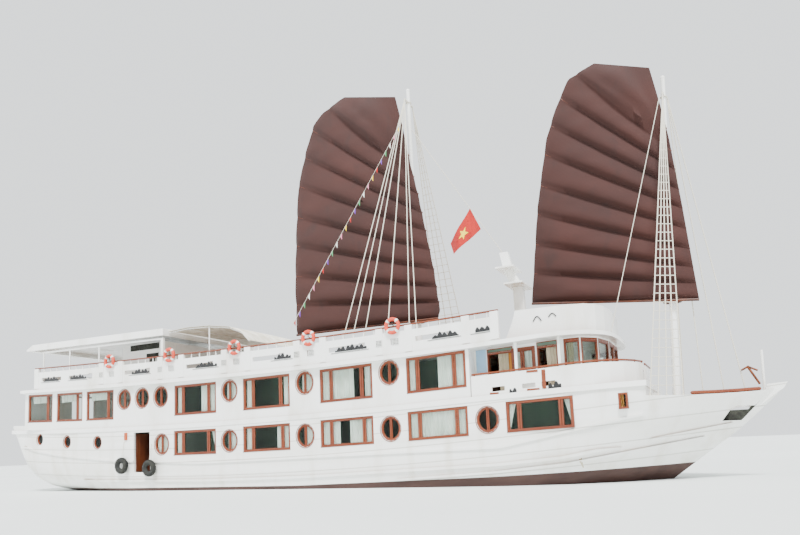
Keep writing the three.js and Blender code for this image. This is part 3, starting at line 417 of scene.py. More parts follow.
def tinted(name, base, darker, roughness, scale=1.5, stretch=(1, 1, 1), bump=0.002, metallic=0.0):
    """A finish of two close tones in soft blotches, with a faintly uneven surface."""
    material, tree, shader = blank(name)
    patches = spread(tree, speckle(tree, scale, stretch), 0.35, 0.7)
    rough = spread(tree, patches, 0, 1, roughness, min(1, roughness + 0.15))
    tone = blended(tree, patches, base, darker)
    wire(shader, {"Base Color": tone, "Roughness": rough, "Metallic": metallic})
    relief(tree, shader, speckle(tree, scale * 8, stretch), bump)
    return material


def planked_enamel(colour, plank):
    """Marine enamel brushed over carvel planking: glossy white, with faint seams and rain streaks."""
    material, tree, shader = blank("brushed_marine_enamel_on_planking")
    streaks = spread(tree, speckle(tree, 1.3, (1, 1, 0.12), 5), 0.52, 0.78)
    stained = blended(tree, streaks, colour, linear("#d9d4c6"))
    boards = spread(tree, speckle(tree, 1.0, (0.12, 0.12, 1 / plank), 1), 0.3, 0.7)
    toned = blended(tree, spread(tree, boards, 0, 1, 0, 0.5), stained, linear("#e4e2da"))
    seams = seam_lines(tree, "swept", plank, 0.016)
    lined = blended(tree, spread(tree, seams, 0, 1, 0.7, 0), toned, linear("#a5a195"))
    wire(shader, {"Base Color": lined, "Roughness": spread(tree, streaks, 0, 1, 0.28, 0.5)})
    relief(tree, shader, seams, 0.004)
    return material


def panel_enamel(colour):
    """Marine enamel rolled on plywood: glossy white, smooth, a little grimed."""
    material, tree, shader = blank("rolled_marine_enamel_on_plywood")
    grime = spread(tree, speckle(tree, 0.9, (1, 1, 0.25), 5), 0.5, 0.8)
    toned = blended(tree, grime, colour, linear("#dad6ca"))
    wire(shader, {"Base Color": toned, "Roughness": spread(tree, grime, 0, 1, 0.25, 0.45)})
    relief(tree, shader, speckle(tree, 9), 0.0012)
    return material


def antifouling(colour):
    """Copper-bearing antifouling paint: matt reddish brown, scrubbed paler in patches."""
    return tinted("scrubbed_antifouling_paint", colour, linear("#331d17"), 0.6, 1.6, (0.3, 1, 1), 0.003)


def varnished_hardwood(name, colour, along=(0.08, 1, 1), grain=30.0):
    """Varnished hardwood: reddish brown under a gloss coat.

    The grain is 3 mm wide, too fine to show, so it is drawn 30 mm wide.
    """
    material, tree, shader = blank(name)
    fibres = spread(tree, speckle(tree, grain, along, 4), 0.35, 0.65)
    patches = spread(tree, speckle(tree, 2.0, along, 2), 0.3, 0.7)
    wood = blended(tree, fibres, colour, tuple(c * 0.55 for c in colour[:3]) + (1.0,))
    toned = blended(tree, spread(tree, patches, 0, 1, 0, 0.4), wood, linear("#8a4314"))
    wire(shader, {"Base Color": toned, "Roughness": 0.5, "Coat Weight": 0.12, "Coat Roughness": 0.2})
    relief(tree, shader, fibres, 0.0008)
    return material


def weave(tree, spacing):
    """1 on the threads of a plain weave and 0 between them, both ways."""
    across = seam_lines(tree, "X", spacing, spacing / 2)
    up = seam_lines(tree, "Z", spacing, spacing / 2)
    return put(tree, "ShaderNodeMath", {0: across, 1: up}, operation="MULTIPLY").outputs[0]


def sail_canvas(colour):
    """Dyed cotton canvas: matt maroon brown, sun-faded in broad patches, with a weave that scatters light.

    The threads are 1.5 mm apart, too fine to show, so the weave is drawn 30 mm apart.
    """
    material, tree, shader = blank("dyed_cotton_sail_canvas")
    fade = spread(tree, speckle(tree, 0.35, (1, 1, 1.6), 4), 0.35, 0.7)
    faded = blended(tree, fade, colour, linear("#38130a"))
    dirt = spread(tree, speckle(tree, 1.8, (1, 1, 0.5), 5), 0.55, 0.8)
    soiled = blended(tree, spread(tree, dirt, 0, 1, 0, 0.45), faded, linear("#180805"))
    wire(shader, {"Base Color": soiled, "Roughness": 0.88, "Sheen Weight": 0.08, "Sheen Roughness": 0.5})
    relief(tree, shader, weave(tree, 0.03), 0.002)
    return material


def woven_cloth(name, colour, darker):
    """Plain woven cloth: matt, with soft shade in its folds. The 1 mm weave is drawn 12 mm apart."""
    material, tree, shader = blank(name)
    folds = spread(tree, speckle(tree, 2.5, (1, 1, 0.4), 3), 0.35, 0.7)
    toned = blended(tree, folds, colour, darker)
    wire(shader, {"Base Color": toned, "Roughness": 0.9, "Sheen Weight": 0.2})
    relief(tree, shader, weave(tree, 0.012), 0.0006)
    return material


def laid_rope():
    """Three-strand laid rope: off-white and matt, its strands drawn every 30 mm."""
    material, tree, shader = blank("laid_polyester_rope")
    spot = put(tree, "ShaderNodeTexCoord").outputs["Object"]
    sockets = {"Vector": spot, "Scale": 10.0, "Distortion": 1.0}
    wave = put(tree, "ShaderNodeTexWave", sockets, wave_type="BANDS", bands_direction="DIAGONAL")
    strands = wave.outputs["Fac"]
    toned = blended(tree, strands, linear("#e6e1d4"), linear("#c3bcab"))
    wire(shader, {"Base Color": toned, "Roughness": 0.85})
    relief(tree, shader, strands, 0.003)
    return material


# Below that of glass, so that a thin pane lets the rooms be seen as a real one does
PANE_IOR = 1.2


def window_glass():
    """Float glass, faintly green: clear, with a sharp reflection and a film of salt."""
    material, tree, shader = blank("green_tinted_float_glass")
    salt = spread(tree, speckle(tree, 3.0, (1, 1, 0.4), 4), 0.4, 0.8)
    toned = blended(tree, salt, linear("#eef6f1"), linear("#dfebe5"))
    film = spread(tree, salt, 0, 1, 0.02, 0.09)
    wire(shader, {"Base Color": toned, "Roughness": film, "Transmission Weight": 1.0, "IOR": PANE_IOR})
    return material


def deck_boards():
    """Weathered teak boards: grey-brown, caulked every 120 mm."""
    material, tree, shader = blank("weathered_teak_boards")
    fibres = spread(tree, speckle(tree, 25, (0.06, 1, 1), 4), 0.3, 0.7)
    boards = spread(tree, speckle(tree, 1.0, (0.2, 8, 1), 1), 0.3, 0.7)
    wood = blended(tree, fibres, linear("#8b6644"), linear("#6f5136"))
    toned = blended(tree, spread(tree, boards, 0, 1, 0, 0.5), wood, linear("#9a7a5b"))
    seams = seam_lines(tree, "Y", 0.12, 0.008)
    caulked = blended(tree, seams, linear("#3b3029"), toned)
    wire(shader, {"Base Color": caulked, "Roughness": 0.7})
    relief(tree, shader, seams, 0.003)
    return material


# Finishes of two close tones: key, name, tones, roughness, blotches in a metre, share of that upright,
# relief in metres, metallic. The comments say what each gives the eye.
TINTED = (
    # Oiled plywood, dull green-grey as painted shade: stands in for the shaded rooms seen behind the panes
    ("partition", "green_grey_painted_shade_behind_panes", "#586e5e", "#3d5044", 0.55, 1.2, 0.2, 0.002, 0.0),
    # Enamel under years of rust, near black as painted shade in the anchor's recess: uneven
    ("pocket", "rust_stain_and_painted_shade", "#34362b", "#211f1a", 0.6, 5, 1, 0.003, 0.0),
    # Enamel in the shade of a pierced wall: flat mid grey
    ("lattice", "shaded_grey_enamel", "#6d6f69", "#585a54", 0.5, 4, 1, 0.001, 0.0),
    # Vulcanised rubber: dull black, greyed by salt
    ("rubber", "weathered_tyre_rubber", "#141515", "#26261f", 0.75, 6, 1, 0.004, 0.0),
    # Sand-cast iron: rough and rusty, with dark pits
    ("iron", "rusted_cast_iron", "#8a4b2b", "#52301f", 0.75, 9, 1, 0.004, 0.35),
    # Wrought iron under black paint: crisp and half glossy
    ("black_iron", "painted_wrought_iron", "#0d0d0f", "#1c1c1e", 0.45, 12, 1, 0.001, 0.0),
    # Cast bronze: warm metal with brown tarnish
    ("bronze", "cast_manganese_bronze", "#b3904f", "#7d6636", 0.35, 7, 1, 0.002, 1.0),
    # Turned stainless steel: cool even shine
    ("steel", "turned_stainless_steel", "#a4a7a8", "#8b8e90", 0.3, 10, 1, 0.002, 1.0),
    # Reflective tape: clean pale bands
    ("ring_band", "reflective_ring_tape", "#f0efec", "#d9d8d2", 0.5, 8, 1, 0.001, 0.0),
    # Rolled enamel: pale blue and smooth
    ("blue_panel", "pale_blue_enamel", "#9fc2dd", "#8fb3d0", 0.35, 2, 1, 0.001, 0.0),
    # Stoved enamel on sheet: a small orange spot, glossy
    ("lamp_box", "orange_enamelled_box", "#b54d17", "#8f3a10", 0.4, 8, 1, 0.001, 0.0),
    # Painted shade in the bar house's open hatches, as tarred canvas: dull near black
    ("hatch_shade", "painted_shade_in_hatches", "#2b2c26", "#1e1f1a", 0.8, 6, 1, 0.002, 0.0),
    # Rust washed down enamel: a pale brown run
    ("stain", "rust_run_on_enamel", "#c9bfa6", "#a8977a", 0.5, 6, 0.2, 0.0005, 0.0),
)
# Woven cloths: key, name, tone and the shade in its folds
CLOTHS = (
    ("curtain", "cotton_curtain", "#fbfaf6", "#e6e4dc"),
    ("beige_curtain", "beige_linen_curtain", "#cbbfa4", "#a99d82"),
    ("ochre_curtain", "ochre_cotton_curtain", "#d78f38", "#b57226"),
    ("star", "yellow_bunting", "#f6d431", "#e0b81e"),
    ("pink_pennant", "pink_bunting", "#e58aa4", "#d06f8c"),
    ("white_pennant", "white_bunting", "#f2f1ec", "#dcdad2"),
    ("green_pennant", "green_bunting", "#4fa46b", "#3c8a57"),
    ("purple_pennant", "purple_bunting", "#7a3fb0", "#62309a"),
)


def build_materials(colours, sizes):
    """Every finish of the ship by its short name."""
    made = {
        "planking": planked_enamel(colours.enamel, sizes.plank),
        "enamel": panel_enamel(colours.enamel),
        "antifouling": antifouling(colours.boot_top),
        "varnish": varnished_hardwood("varnished_hardwood_along", colours.varnish),
        "door": varnished_hardwood("varnished_door_leaf", linear("#3a1507"), (1, 1, 0.08)),
        "panelling": varnished_hardwood("oiled_cabin_panelling", linear("#4a3222"), (1, 1, 0.1), 12),
        "boards": deck_boards(),
        "canvas": sail_canvas(colours.canvas),
        "awning": woven_cloth("awning_canvas", colours.awning, linear("#cfc8ae")),
        "flag": woven_cloth("polyester_bunting", colours.flag, linear("#9a120b")),
        "rope": laid_rope(),
        "glass": window_glass(),
        # Moulded polyethylene: bright, slightly chalked orange red
        "ring": tinted("moulded_ring_shell", colours.ring, linear("#bd3a22"), 0.45, 6, bump=0.001),
    }
    for key, name, base, darker, roughness, scale, tall, bump, metallic in TINTED:
        tones = linear(base), linear(darker)
        made[key] = tinted(name, *tones, roughness, scale, (1, 1, tall), bump, metallic)
    for key, name, tone, shade in CLOTHS:
        made[key] = woven_cloth(name, linear(tone), linear(shade))
    return made


FINISH = {}


def settings():
    scene = bpy.context.scene
    return scene.junk_colours, scene.junk_sizes


# Operators


class JUNK_OT_finishes(bpy.types.Operator):
    """Makes the ship's finishes"""

    bl_idname = "junk.finishes"
    bl_label = "Finishes"

    def execute(self, context):
        colours, sizes = settings()
        FINISH.update(build_materials(colours, sizes))
        return {"FINISHED"}


# Camera and lights: the camera stands where the photograph was taken
CAMERA_AT = Vector((17.377, -29.064, 1.641))
CAMERA_YAW, CAMERA_PITCH, CAMERA_ROLL = 0.4429, 0.1112, -0.0404
CAMERA_LENS = 30.6
CAMERA_RISE = 0.13
FLOOR_HALF = 400.0
SKY_STRENGTH = 1.9
# Suns: name, energy, softness in degrees, direction that the light comes from
LIGHTS = (
    ("key_light", 6.8, 14, (0.3, -0.62, 1.0)),
    ("fill_light", 1.4, 60, (-0.9, -0.3, 0.5)),
)


def photo_camera():
    """The camera, turned by yaw, pitch and roll."""
    data = bpy.data.cameras.new("camera")
    data.sensor_width = 36
    data.lens = CAMERA_LENS
    data.shift_y = CAMERA_RISE
    data.clip_end = 2000
    camera = bpy.data.objects.new("camera", data)
    bpy.context.scene.collection.objects.link(camera)
    sy, cy = math.sin(CAMERA_YAW), math.cos(CAMERA_YAW)
    sp, cp = math.sin(CAMERA_PITCH), math.cos(CAMERA_PITCH)
    ahead = Vector((-sy * cp, cy * cp, sp))
    right = Vector((cy, sy, 0))
    up = right.cross(ahead)
    cr, sr = math.cos(CAMERA_ROLL), math.sin(CAMERA_ROLL)
    columns = Matrix((right * cr + up * sr, up * cr - right * sr, -ahead)).transposed()
    camera.matrix_world = Matrix.Translation(CAMERA_AT) @ columns.to_4x4()
    bpy.context.scene.camera = camera


class JUNK_OT_stage(bpy.types.Operator):
    """Makes the floor at the water surface, the lights and the camera"""

    bl_idname = "junk.stage"
    bl_label = "Stage"

    def execute(self, context):
        photo_camera()
        self.floor(context.scene)
        self.sky(context.scene)
        for light in LIGHTS:
            self.sun(context.scene, *light)
        return {"FINISHED"}

    @staticmethod
    def floor(scene):
        bm = bmesh.new()
        bmesh.ops.create_grid(bm, x_segments=2, y_segments=2, size=FLOOR_HALF)
        mesh = bpy.data.meshes.new("floor")
        bm.to_mesh(mesh)
        bm.free()
        floor = bpy.data.objects.new("floor", mesh)
        scene.collection.objects.link(floor)
        tones = linear("#dfe4e2"), linear("#d9dedc")
        mesh.materials.append(tinted("pale_floor", *tones, 0.7, 0.05, bump=0.0))

    @staticmethod
    def sky(scene):
        world = bpy.data.worlds.new("studio")
        world.use_nodes = True
        wire(world.node_tree.nodes["Background"], {"Color": linear("#eef2f4"), "Strength": SKY_STRENGTH})
        scene.world = world

    @staticmethod
    def sun(scene, name, energy, softness, source):
        data = bpy.data.lights.new(name, "SUN")
        data.energy = energy
        data.angle = math.radians(softness)
        light = bpy.data.objects.new(name, data)
        scene.collection.objects.link(light)
        light.rotation_mode = "QUATERNION"
        light.rotation_quaternion = Vector(source).to_track_quat("Z", "Y")


# Hull and cabins

PLANKED = ("hull_topsides", "lower_transom", "lower_bow_bulkhead", "stern_bulwark")
LINED_WALLS = (
    "lower_wall_starboard",
    "lower_wall_port",
    "upper_wall_starboard",
    "upper_wall_port",
    "upper_aft_bulkhead",
    "wheelhouse",
)
PLAIN_ENAMEL = (
    "gallery_bulwark_starboard",
    "gallery_bulwark_port",
    "roof_box",
    "canopy_frame_starboard",
    "canopy_frame_port",
    "fore_stair",
    "bar_house",
    "canopy_roof",
)
LEVEL = 0.9  # a face whose normal rises more than this is walked on


def lower_foot(x):
    return sheer(x) + LOWER_FLOOR + 0.003


def lower_head(x):
    return sheer(x) + 3.095


def upper_foot(x):
    return sheer(x) + UPPER_DECK_TOP + 0.003


def upper_head(x):
    return eave(x) - 0.005


# Cabin walls along the corridors: name, ends, foot and head
PARTITION_Y = 2.2
PARTITION_THICK = 0.04
PARTITIONS = (
    ("lower_cabin_partitions", -17.0, 12.3, lower_foot, lower_head),
    ("upper_cabin_partitions", -10.9, 8.2, upper_foot, upper_head),
)


def frame_runs(x0, x1):
    """The straight runs between two places, which bend at the ship's frames."""
    first = math.floor(x0 / FRAME_STEP) + 1
    last = math.ceil(x1 / FRAME_STEP)
    xs = [x0, *[k * FRAME_STEP for k in range(first, last)], x1]
    return list(zip(xs, xs[1:]))


def in_anchor_pocket(face):
    """True for the faces inside the recess that the anchor stows in, at the stem."""
    x, y, z = face.calc_center_median()
    inside = 17.2 < x < 18.7 and 2.1 < z < 2.75 and 0.24 < abs(y)
    on_deck = z > 2.58 and face.normal.z > LEVEL
    return inside and not on_deck and (abs(face.normal.y) < 0.4 or abs(y) < 0.28)


def faces_inboard(face):
    """True where a wall's face looks into the ship."""
    centre = face.calc_center_median()
    return face.normal.y * centre.y < -0.2 and abs(face.normal.y) > 0.5


class JUNK_OT_hull(bpy.types.Operator):
    """Planks the hull and lines the cabins"""

    bl_idname = "junk.hull"
    bl_label = "Hull and cabins"

    def execute(self, context):
        antifouled = [FINISH["antifouling"]]
        self.dressed("hull_bottom", "planking", antifouled, "antifouling")
        planks = [FINISH["planking"], FINISH["boards"], FINISH["pocket"]]
        for node in PLANKED:
            self.dressed(node, "planking", planks, "white_paint", self.plank_number)
        for node in LINED_WALLS:
            outside = FINISH["planking" if node.startswith("lower") else "enamel"]
            self.dressed(node, "lined", [outside, FINISH["panelling"]], "white_paint", faces_inboard)
        for node in ("upper_deck", "sun_deck"):
            decking = [FINISH["enamel"], FINISH["boards"]]
            self.dressed(node, "boards", decking, "white_paint", self.is_walked_on)
        for node in PLAIN_ENAMEL:
            dress(node, FINISH["enamel"])
        for partition in PARTITIONS:
            self.partitions(*partition)
        return {"FINISHED"}

    @staticmethod
    def dressed(node, suffix, materials, slot, number=None):
        """A node's mesh as a piece, with a material number for each face."""
        bm = copy_of(node)
        if number:
            for face in bm.faces:
                face.material_index = int(number(face))
        finished(bm, f"{node}_{suffix}", materials, replaces=[node], outward=False)

    @staticmethod
    def is_walked_on(face):
        return face.normal.z > LEVEL

    @staticmethod
    def plank_number(face):
        """Planking, deck boards, or the anchor's pocket in rust stain and painted shade."""
        return 2 if in_anchor_pocket(face) else face.normal.z > LEVEL

    @staticmethod
    def partitions(name, x0, x1, low, high):
        bm = bmesh.new()
        for _, side in SIDES:
            for a, b in frame_runs(x0, x1):
                outline = [(a, low(a)), (b, low(b)), (b, high(b)), (a, high(a))]
                plate(bm, outline, side * PARTITION_Y, side * (PARTITION_Y - PARTITION_THICK))
        bmesh.ops.remove_doubles(bm, verts=bm.verts, dist=0.0005)
        # The cabin walls are dull green-grey: painted shade of the rooms seen through the windows
        finished(bm, name, [FINISH["partition"]])


# Windows
# How a curtain hangs in its part of a window
STRAIGHT, TIED_AFT, TIED_FORE, VALANCE = range(4)
# Cabin windows of both decks: number along the pitch, shares of the width where the posts between its panes
# stand, and its curtains as shares of the width, from and to
LOWER_WINDOWS = (
    (0, (0.21, 0.81), ((0.04, 0.165, STRAIGHT), (0.85, 0.99, TIED_FORE))),
    (1, (0.21, 0.83), ((0.04, 0.17, STRAIGHT), (0.69, 0.99, STRAIGHT))),
    (2, (0.205, 0.82), ((0.04, 0.36, STRAIGHT), (0.54, 0.99, STRAIGHT))),
    (3, (0.2, 0.815), ((0.04, 0.5, STRAIGHT), (0.5, 0.99, STRAIGHT))),
)
UPPER_WINDOWS = (
    (0, (0.2, 0.805), ((0.04, 0.16, STRAIGHT), (0.6, 0.99, STRAIGHT))),
    (1, (0.21, 0.795), ((0.04, 0.18, STRAIGHT), (0.84, 0.99, STRAIGHT))),
    (2, (0.21, 0.79), ((0.04, 0.62, STRAIGHT), (0.83, 0.99, STRAIGHT))),
    (3, (0.19, 0.8), ((0.04, 0.13, STRAIGHT), (0.52, 0.99, STRAIGHT))),
)
FORE_WINDOW = ((0.2, 0.82), ((0.0, 0.17, TIED_AFT), (0.85, 1.0, TIED_FORE)))
SALOON_WINDOW = ((0.78,), ((0.12, 0.72, VALANCE),))
SMALL_WINDOW = ((), ((0.1, 0.55, STRAIGHT),))
# Round windows: number along the pitch, and the curtain as shares of the width
LOWER_ROUNDS = ((-0.5, 0.1, 0.9), (0.5, 0.3, 1.0), (1.5, 0.5, 1.0), (2.5, 0.0, 0.0), (3.5, 0.0, 0.0))
UPPER_ROUNDS = ((0.5, 0.25, 1.0), (1.5, 0.3, 1.0), (2.5, 0.0, 0.0))
WINDOW_WIDTH = 2.62
FORE_WINDOW_X = 11.08
SMALL_WINDOW_X = 14.09
SMALL_LIGHT = (2.32, 2.91)
SALOON_XS = (-16.715, -14.385, -12.085)
SALOON_WIDTH = 2.0
AFT_ROUND_XS = (-10.34, -9.1, -7.85)
PORTHOLES = ((-16.84, 2.87), (-14.53, 2.66), (-12.21, 2.53))
PORTHOLE_SIZE = (0.56, 0.64)
PANE_DEPTH = 0.085


class Glazing:
    """The meshes that a wall's windows are gathered in: frames, panes and curtains."""

    def __init__(self, side, wall=None, reach=None):
        self.wall = wall
        self.reach = reach
        self.side = side
        self.frames, self.panes, self.curtains = bmesh.new(), bmesh.new(), bmesh.new()

    def surface(self, x, z):
        """Where the wall's outside is across the ship: measured on its node, or given."""
        return self.side * (self.reach or wall_at(self.wall, x, z, self.side))

    def depth(self, y, inward):
        return y - self.side * inward

    def sash(self, outline, y, sizes, width=None):
        """A frame set back in the opening, with a bead round the glass."""
        width = width or sizes.frame_width
        recess = sizes.frame_recess
        rim(self.frames, grown(outline, -0.002), width, self.depth(y, WALL - 0.004), self.depth(y, recess))
        bead = grown(outline, -0.002 - width)
        rim(self.frames, bead, 0.022, self.depth(y, PANE_DEPTH + 0.012), self.depth(y, recess + 0.022))
        plate(self.panes, grown(bead, -0.008), self.depth(y, PANE_DEPTH), self.depth(y, PANE_DEPTH + 0.008))

    def post(self, outline, y, sizes):
        """An upright between two panes, with a groove down its middle."""
        (x0, low), (x1, _), (_, high), _ = outline
        middle, recess = (x0 + x1) / 2, sizes.frame_recess
        for a, b, back in ((x0, middle - 0.006, 0.0), (middle + 0.006, x1, 0.012)):
            leaf = [(a, low), (b, low), (b, high), (a, high)]
            plate(self.frames, leaf, self.depth(y, PANE_DEPTH + 0.01), self.depth(y, recess + 0.008 + back))

    def curtain(self, x0, x1, z0, z1, y, hung=STRAIGHT, cloth=0):
        """Cloth gathered in folds, hung behind the glass, and drawn to one side where it is tied."""
        before = set(self.curtains.faces)
        steps = max(8, round((x1 - x0) / 0.018))
        made = bmesh.ops.create_grid(self.curtains, x_segments=steps, y_segments=8, size=0.5)["verts"]
        for vert in made:
            across, up = vert.co.x + 0.5, vert.co.y + 0.5
            x = x0 + (x1 - x0) * across
            fold = 0.02 * math.sin(x * 52 + 0.6 * up) + 0.011 * math.sin(x * 23)
            if hung in (TIED_AFT, TIED_FORE):
                drawn = 0.25 + 0.75 * up**1.3
                end = x0 if hung == TIED_AFT else x1
                x = end + (x - end) * drawn
            vert.co = (x, self.depth(y, 0.16 + fold), z0 + (z1 - z0) * up)
        paint(self.curtains, before, cloth)

    def rectangle(self, x, width, light, posts, curtains, sizes, frame=None, cloth=0):
        """A window that follows the deck line: frame, posts, sill and curtains."""
        x0, x1 = x - width / 2, x + width / 2
        outline = sheared(x0, x1, *light)
        y = self.surface(x0 - 0.12, sheer(x0) + light[0] + 0.3)
        self.sash(outline, y, sizes, frame)
        for share in posts:
            at = x0 + width * share
            half = sizes.mullion / 2
            self.post(sheared(at - half, at + half, light[0] + 0.05, light[1] - 0.05), y, sizes)
        sill = sheared(x0 + 0.004, x1 - 0.004, light[0] + 0.003, light[0] + 0.035)
        plate(self.frames, sill, self.depth(y, sizes.frame_recess - 0.004), self.depth(y, -0.022))
        slack = min(0.05, 0.02 * width)
        low, high = sheer(x) + light[0] - slack, sheer(x) + light[1] + slack
        for start, end, hung in curtains:
            foot = high - 0.32 * (high - low) if hung == VALANCE else low
            self.curtain(x0 + width * start, x0 + width * end, foot, high, y, hung, cloth)

    def round(self, x, z, size, sizes, curtain=(0.0, 0.0), post=True):
        """A round window with a ring of trim outside."""
        outline = oval(x, z, *size)
        y = self.surface(x - size[0] / 2 - 0.1, z)
        self.sash(outline, y, sizes, 0.085 * size[0])
        rim(self.frames, grown(outline, 0.035), 0.032, self.depth(y, -0.002), self.depth(y, -0.016))
        if post:
            half = 0.055
            foot, head = z - size[1] / 2 + 0.04, z + size[1] / 2 - 0.04
            self.post([(x - half, foot), (x + half, foot), (x + half, head), (x - half, head)], y, sizes)
        start, end = curtain
        if end > start:
            left = x - size[0] / 2
            foot, head = z - size[1] / 2, z + size[1] / 2
            self.curtain(left + size[0] * start, left + size[0] * end, foot, head, y)

    def turned(self, start, end, build):
        """Runs build in the wall's own plane, then sets what it made along a wall from start to end."""
        run = Vector(end) - Vector(start)
        ahead = Vector((*run.normalized(), 0))
        out = Vector((-ahead.y, ahead.x, 0)) * self.side
        turn = Matrix((ahead, out * self.side, Vector((0, 0, 1)))).transposed().to_4x4()
        place = Matrix.Translation((*start, 0)) @ turn
        meshes = (self.frames, self.panes, self.curtains)
        before = [set(bm.verts) for bm in meshes]
        build(run.length)
        for bm, old in zip(meshes, before):
            made = [vert for vert in bm.verts if vert not in old]
            bmesh.ops.transform(bm, matrix=place, verts=made)

    def close(self, name):
        finished(self.frames, f"{name}_frames", [FINISH["varnish"]], bevel=0.006)
        finished(self.panes, f"{name}_panes", [FINISH["glass"]])
        if not self.curtains.faces:
            self.curtains.free()
            return
        area = sum(face.calc_area() for face in self.curtains.faces)
        cloths = [FINISH["curtain"], FINISH["beige_curtain"], FINISH["ochre_curtain"]]
        hung = finished(self.curtains, f"{name}_curtains", cloths, outward=False, angle=80)


class JUNK_OT_windows(bpy.types.Operator):
    """Fits frames, glass and curtains in the cabin walls"""

    bl_idname = "junk.windows"
    bl_label = "Cabin windows"

    def execute(self, context):
        _, sizes = settings()
        for label, side in SIDES:
            self.lower_deck(label, side, sizes)
            self.upper_deck(label, side, sizes)
        return {"FINISHED"}

    @staticmethod
    def pitched(glazing, windows, light, sizes):
        """The cabin windows of one deck, a pitch apart."""
        for i, posts, curtains in windows:
            x = FIRST_WINDOW + PITCH * i
            glazing.rectangle(x, WINDOW_WIDTH, light, posts, curtains, sizes)

    @staticmethod
    def rounds(glazing, windows, height, sizes):
        """The round windows of one deck, between its cabin windows."""
        for i, *curtain in windows:
            x = FIRST_WINDOW + PITCH * i
            glazing.round(x, sheer(x) + height, ROUND_SIZE, sizes, curtain)

    def lower_deck(self, label, side, sizes):
        lower = Glazing(side, f"lower_wall_{label}")
        self.pitched(lower, LOWER_WINDOWS, LOWER_LIGHT, sizes)
        lower.rectangle(FORE_WINDOW_X, WINDOW_WIDTH - 0.06, LOWER_LIGHT, *FORE_WINDOW, sizes)
        lower.rectangle(SMALL_WINDOW_X, 0.34, SMALL_LIGHT, *SMALL_WINDOW, sizes, frame=0.055, cloth=2)
        self.rounds(lower, LOWER_ROUNDS, LOWER_ROUND, sizes)
        for x, z in PORTHOLES:
            lower.round(x, z, PORTHOLE_SIZE, sizes, post=False)
        lower.close(f"lower_windows_{label}")

    def upper_deck(self, label, side, sizes):
        upper = Glazing(side, f"upper_wall_{label}")
        self.pitched(upper, UPPER_WINDOWS, UPPER_LIGHT, sizes)
        for x in SALOON_XS:
            upper.rectangle(x, SALOON_WIDTH, SALOON_LIGHT, *SALOON_WINDOW, sizes)
        self.rounds(upper, UPPER_ROUNDS, UPPER_ROUND, sizes)
        for x in AFT_ROUND_XS:
            upper.round(x, sheer(x) + UPPER_ROUND + 0.02, ROUND_SIZE, sizes)
        upper.close(f"upper_windows_{label}")


# Sails
# Edges of the sails seen from the side, as (x, z): leech from clew to head, luff from tack to throat
FORE_LEECH = (
    (10.21, 7.66), (10.38, 9.01), (10.55, 10.44), (10.72, 11.79), (10.97, 13.13), (11.3, 14.8),
    (11.8, 16.13), (12.42, 17.29), (13.55, 17.72),
)
FORE_LUFF = (
    (16.83, 6.98), (16.72, 8.28), (16.51, 10.91), (16.24, 13.78), (16.02, 15.23), (15.73, 16.89),
)
MAIN_LEECH = (
    (-1.99, 7.6), (-2.01, 10.48), (-1.87, 13.11), (-1.69, 15.28), (-1.21, 16.98), (-0.67, 18.41),
    (-0.1, 18.97), (1.22, 19.51),
)
MAIN_LUFF = (
    (5.81, 7.55), (5.92, 7.84), (5.72, 9.69), (5.32, 12.13), (5.06, 13.64), (4.78, 14.94),
    (4.4, 17.21), (4.06, 18.76),
)
SAIL_Y = -0.34
BATTEN_Y = SAIL_Y + 0.09
# Battens: share of the luff and of the leech where each ends, from the foot up
BATTENS = (
    (0.0, 0.0), (0.065, 0.115), (0.13, 0.23), (0.205, 0.35), (0.29, 0.465), (0.375, 0.59),
    (0.455, 0.705), (0.54, 0.815), (0.62, 0.925), (1.0, 1.0),
)
# Sails: name, leech, luff, flat width and height of the cut cloth
SAILS = (
    ("fore", FORE_LEECH, FORE_LUFF, (7.2, 12.2)),
    ("main", MAIN_LEECH, MAIN_LUFF, (8.4, 12.9)),
)


def along(line, share):
    """The point at a share of a line's length."""
    points = [Vector(p) for p in line]
    runs = [(b - a).length for a, b in zip(points, points[1:])]
    left = share * sum(runs)
    for a, b, run in zip(points, points[1:], runs):
        if left <= run:
            return a.lerp(b, left / run)
        left -= run
    return points[-1]


def sail_point(leech, luff, across, up, billow):
    """A point of the sail: across from luff to leech, up from foot to head, off its battens by the billow."""
    row = min(int(up * (len(BATTENS) - 1)), len(BATTENS) - 2)
    share = up * (len(BATTENS) - 1) - row
    low, high = BATTENS[row], BATTENS[row + 1]
    luff_at = low[0] + (high[0] - low[0]) * share
    leech_at = low[1] + (high[1] - low[1]) * share
    a, b = along(luff, luff_at), along(leech, leech_at)
    point = a.lerp(b, across)
    room = 0.22 + 0.78 * math.sin(math.pi * across) ** 0.6
    bulge = math.sin(math.pi * share**0.62) ** 0.85 * room
    sag = -0.05 * math.sin(math.pi * across) * (1 - abs(2 * share - 1))
    if row == len(BATTENS) - 2:
        throat = point - along(luff, 0.7)
        fan = abs(math.sin(9 * math.atan2(-throat.x, throat.y)))
        rise = math.sin(math.pi * min(1, 0.1 + share)) ** 0.5
        bulge += 0.7 * fan * math.sin(math.pi * across) * rise
    crease = noise.noise(Vector((point.x * 0.9, row * 3.7, point.y * 2.2)))
    wrinkle = crease * 0.035 * math.sin(math.pi * share)
    return Vector((point.x, SAIL_Y + 0.06 - billow * bulge - wrinkle, point.y + sag))


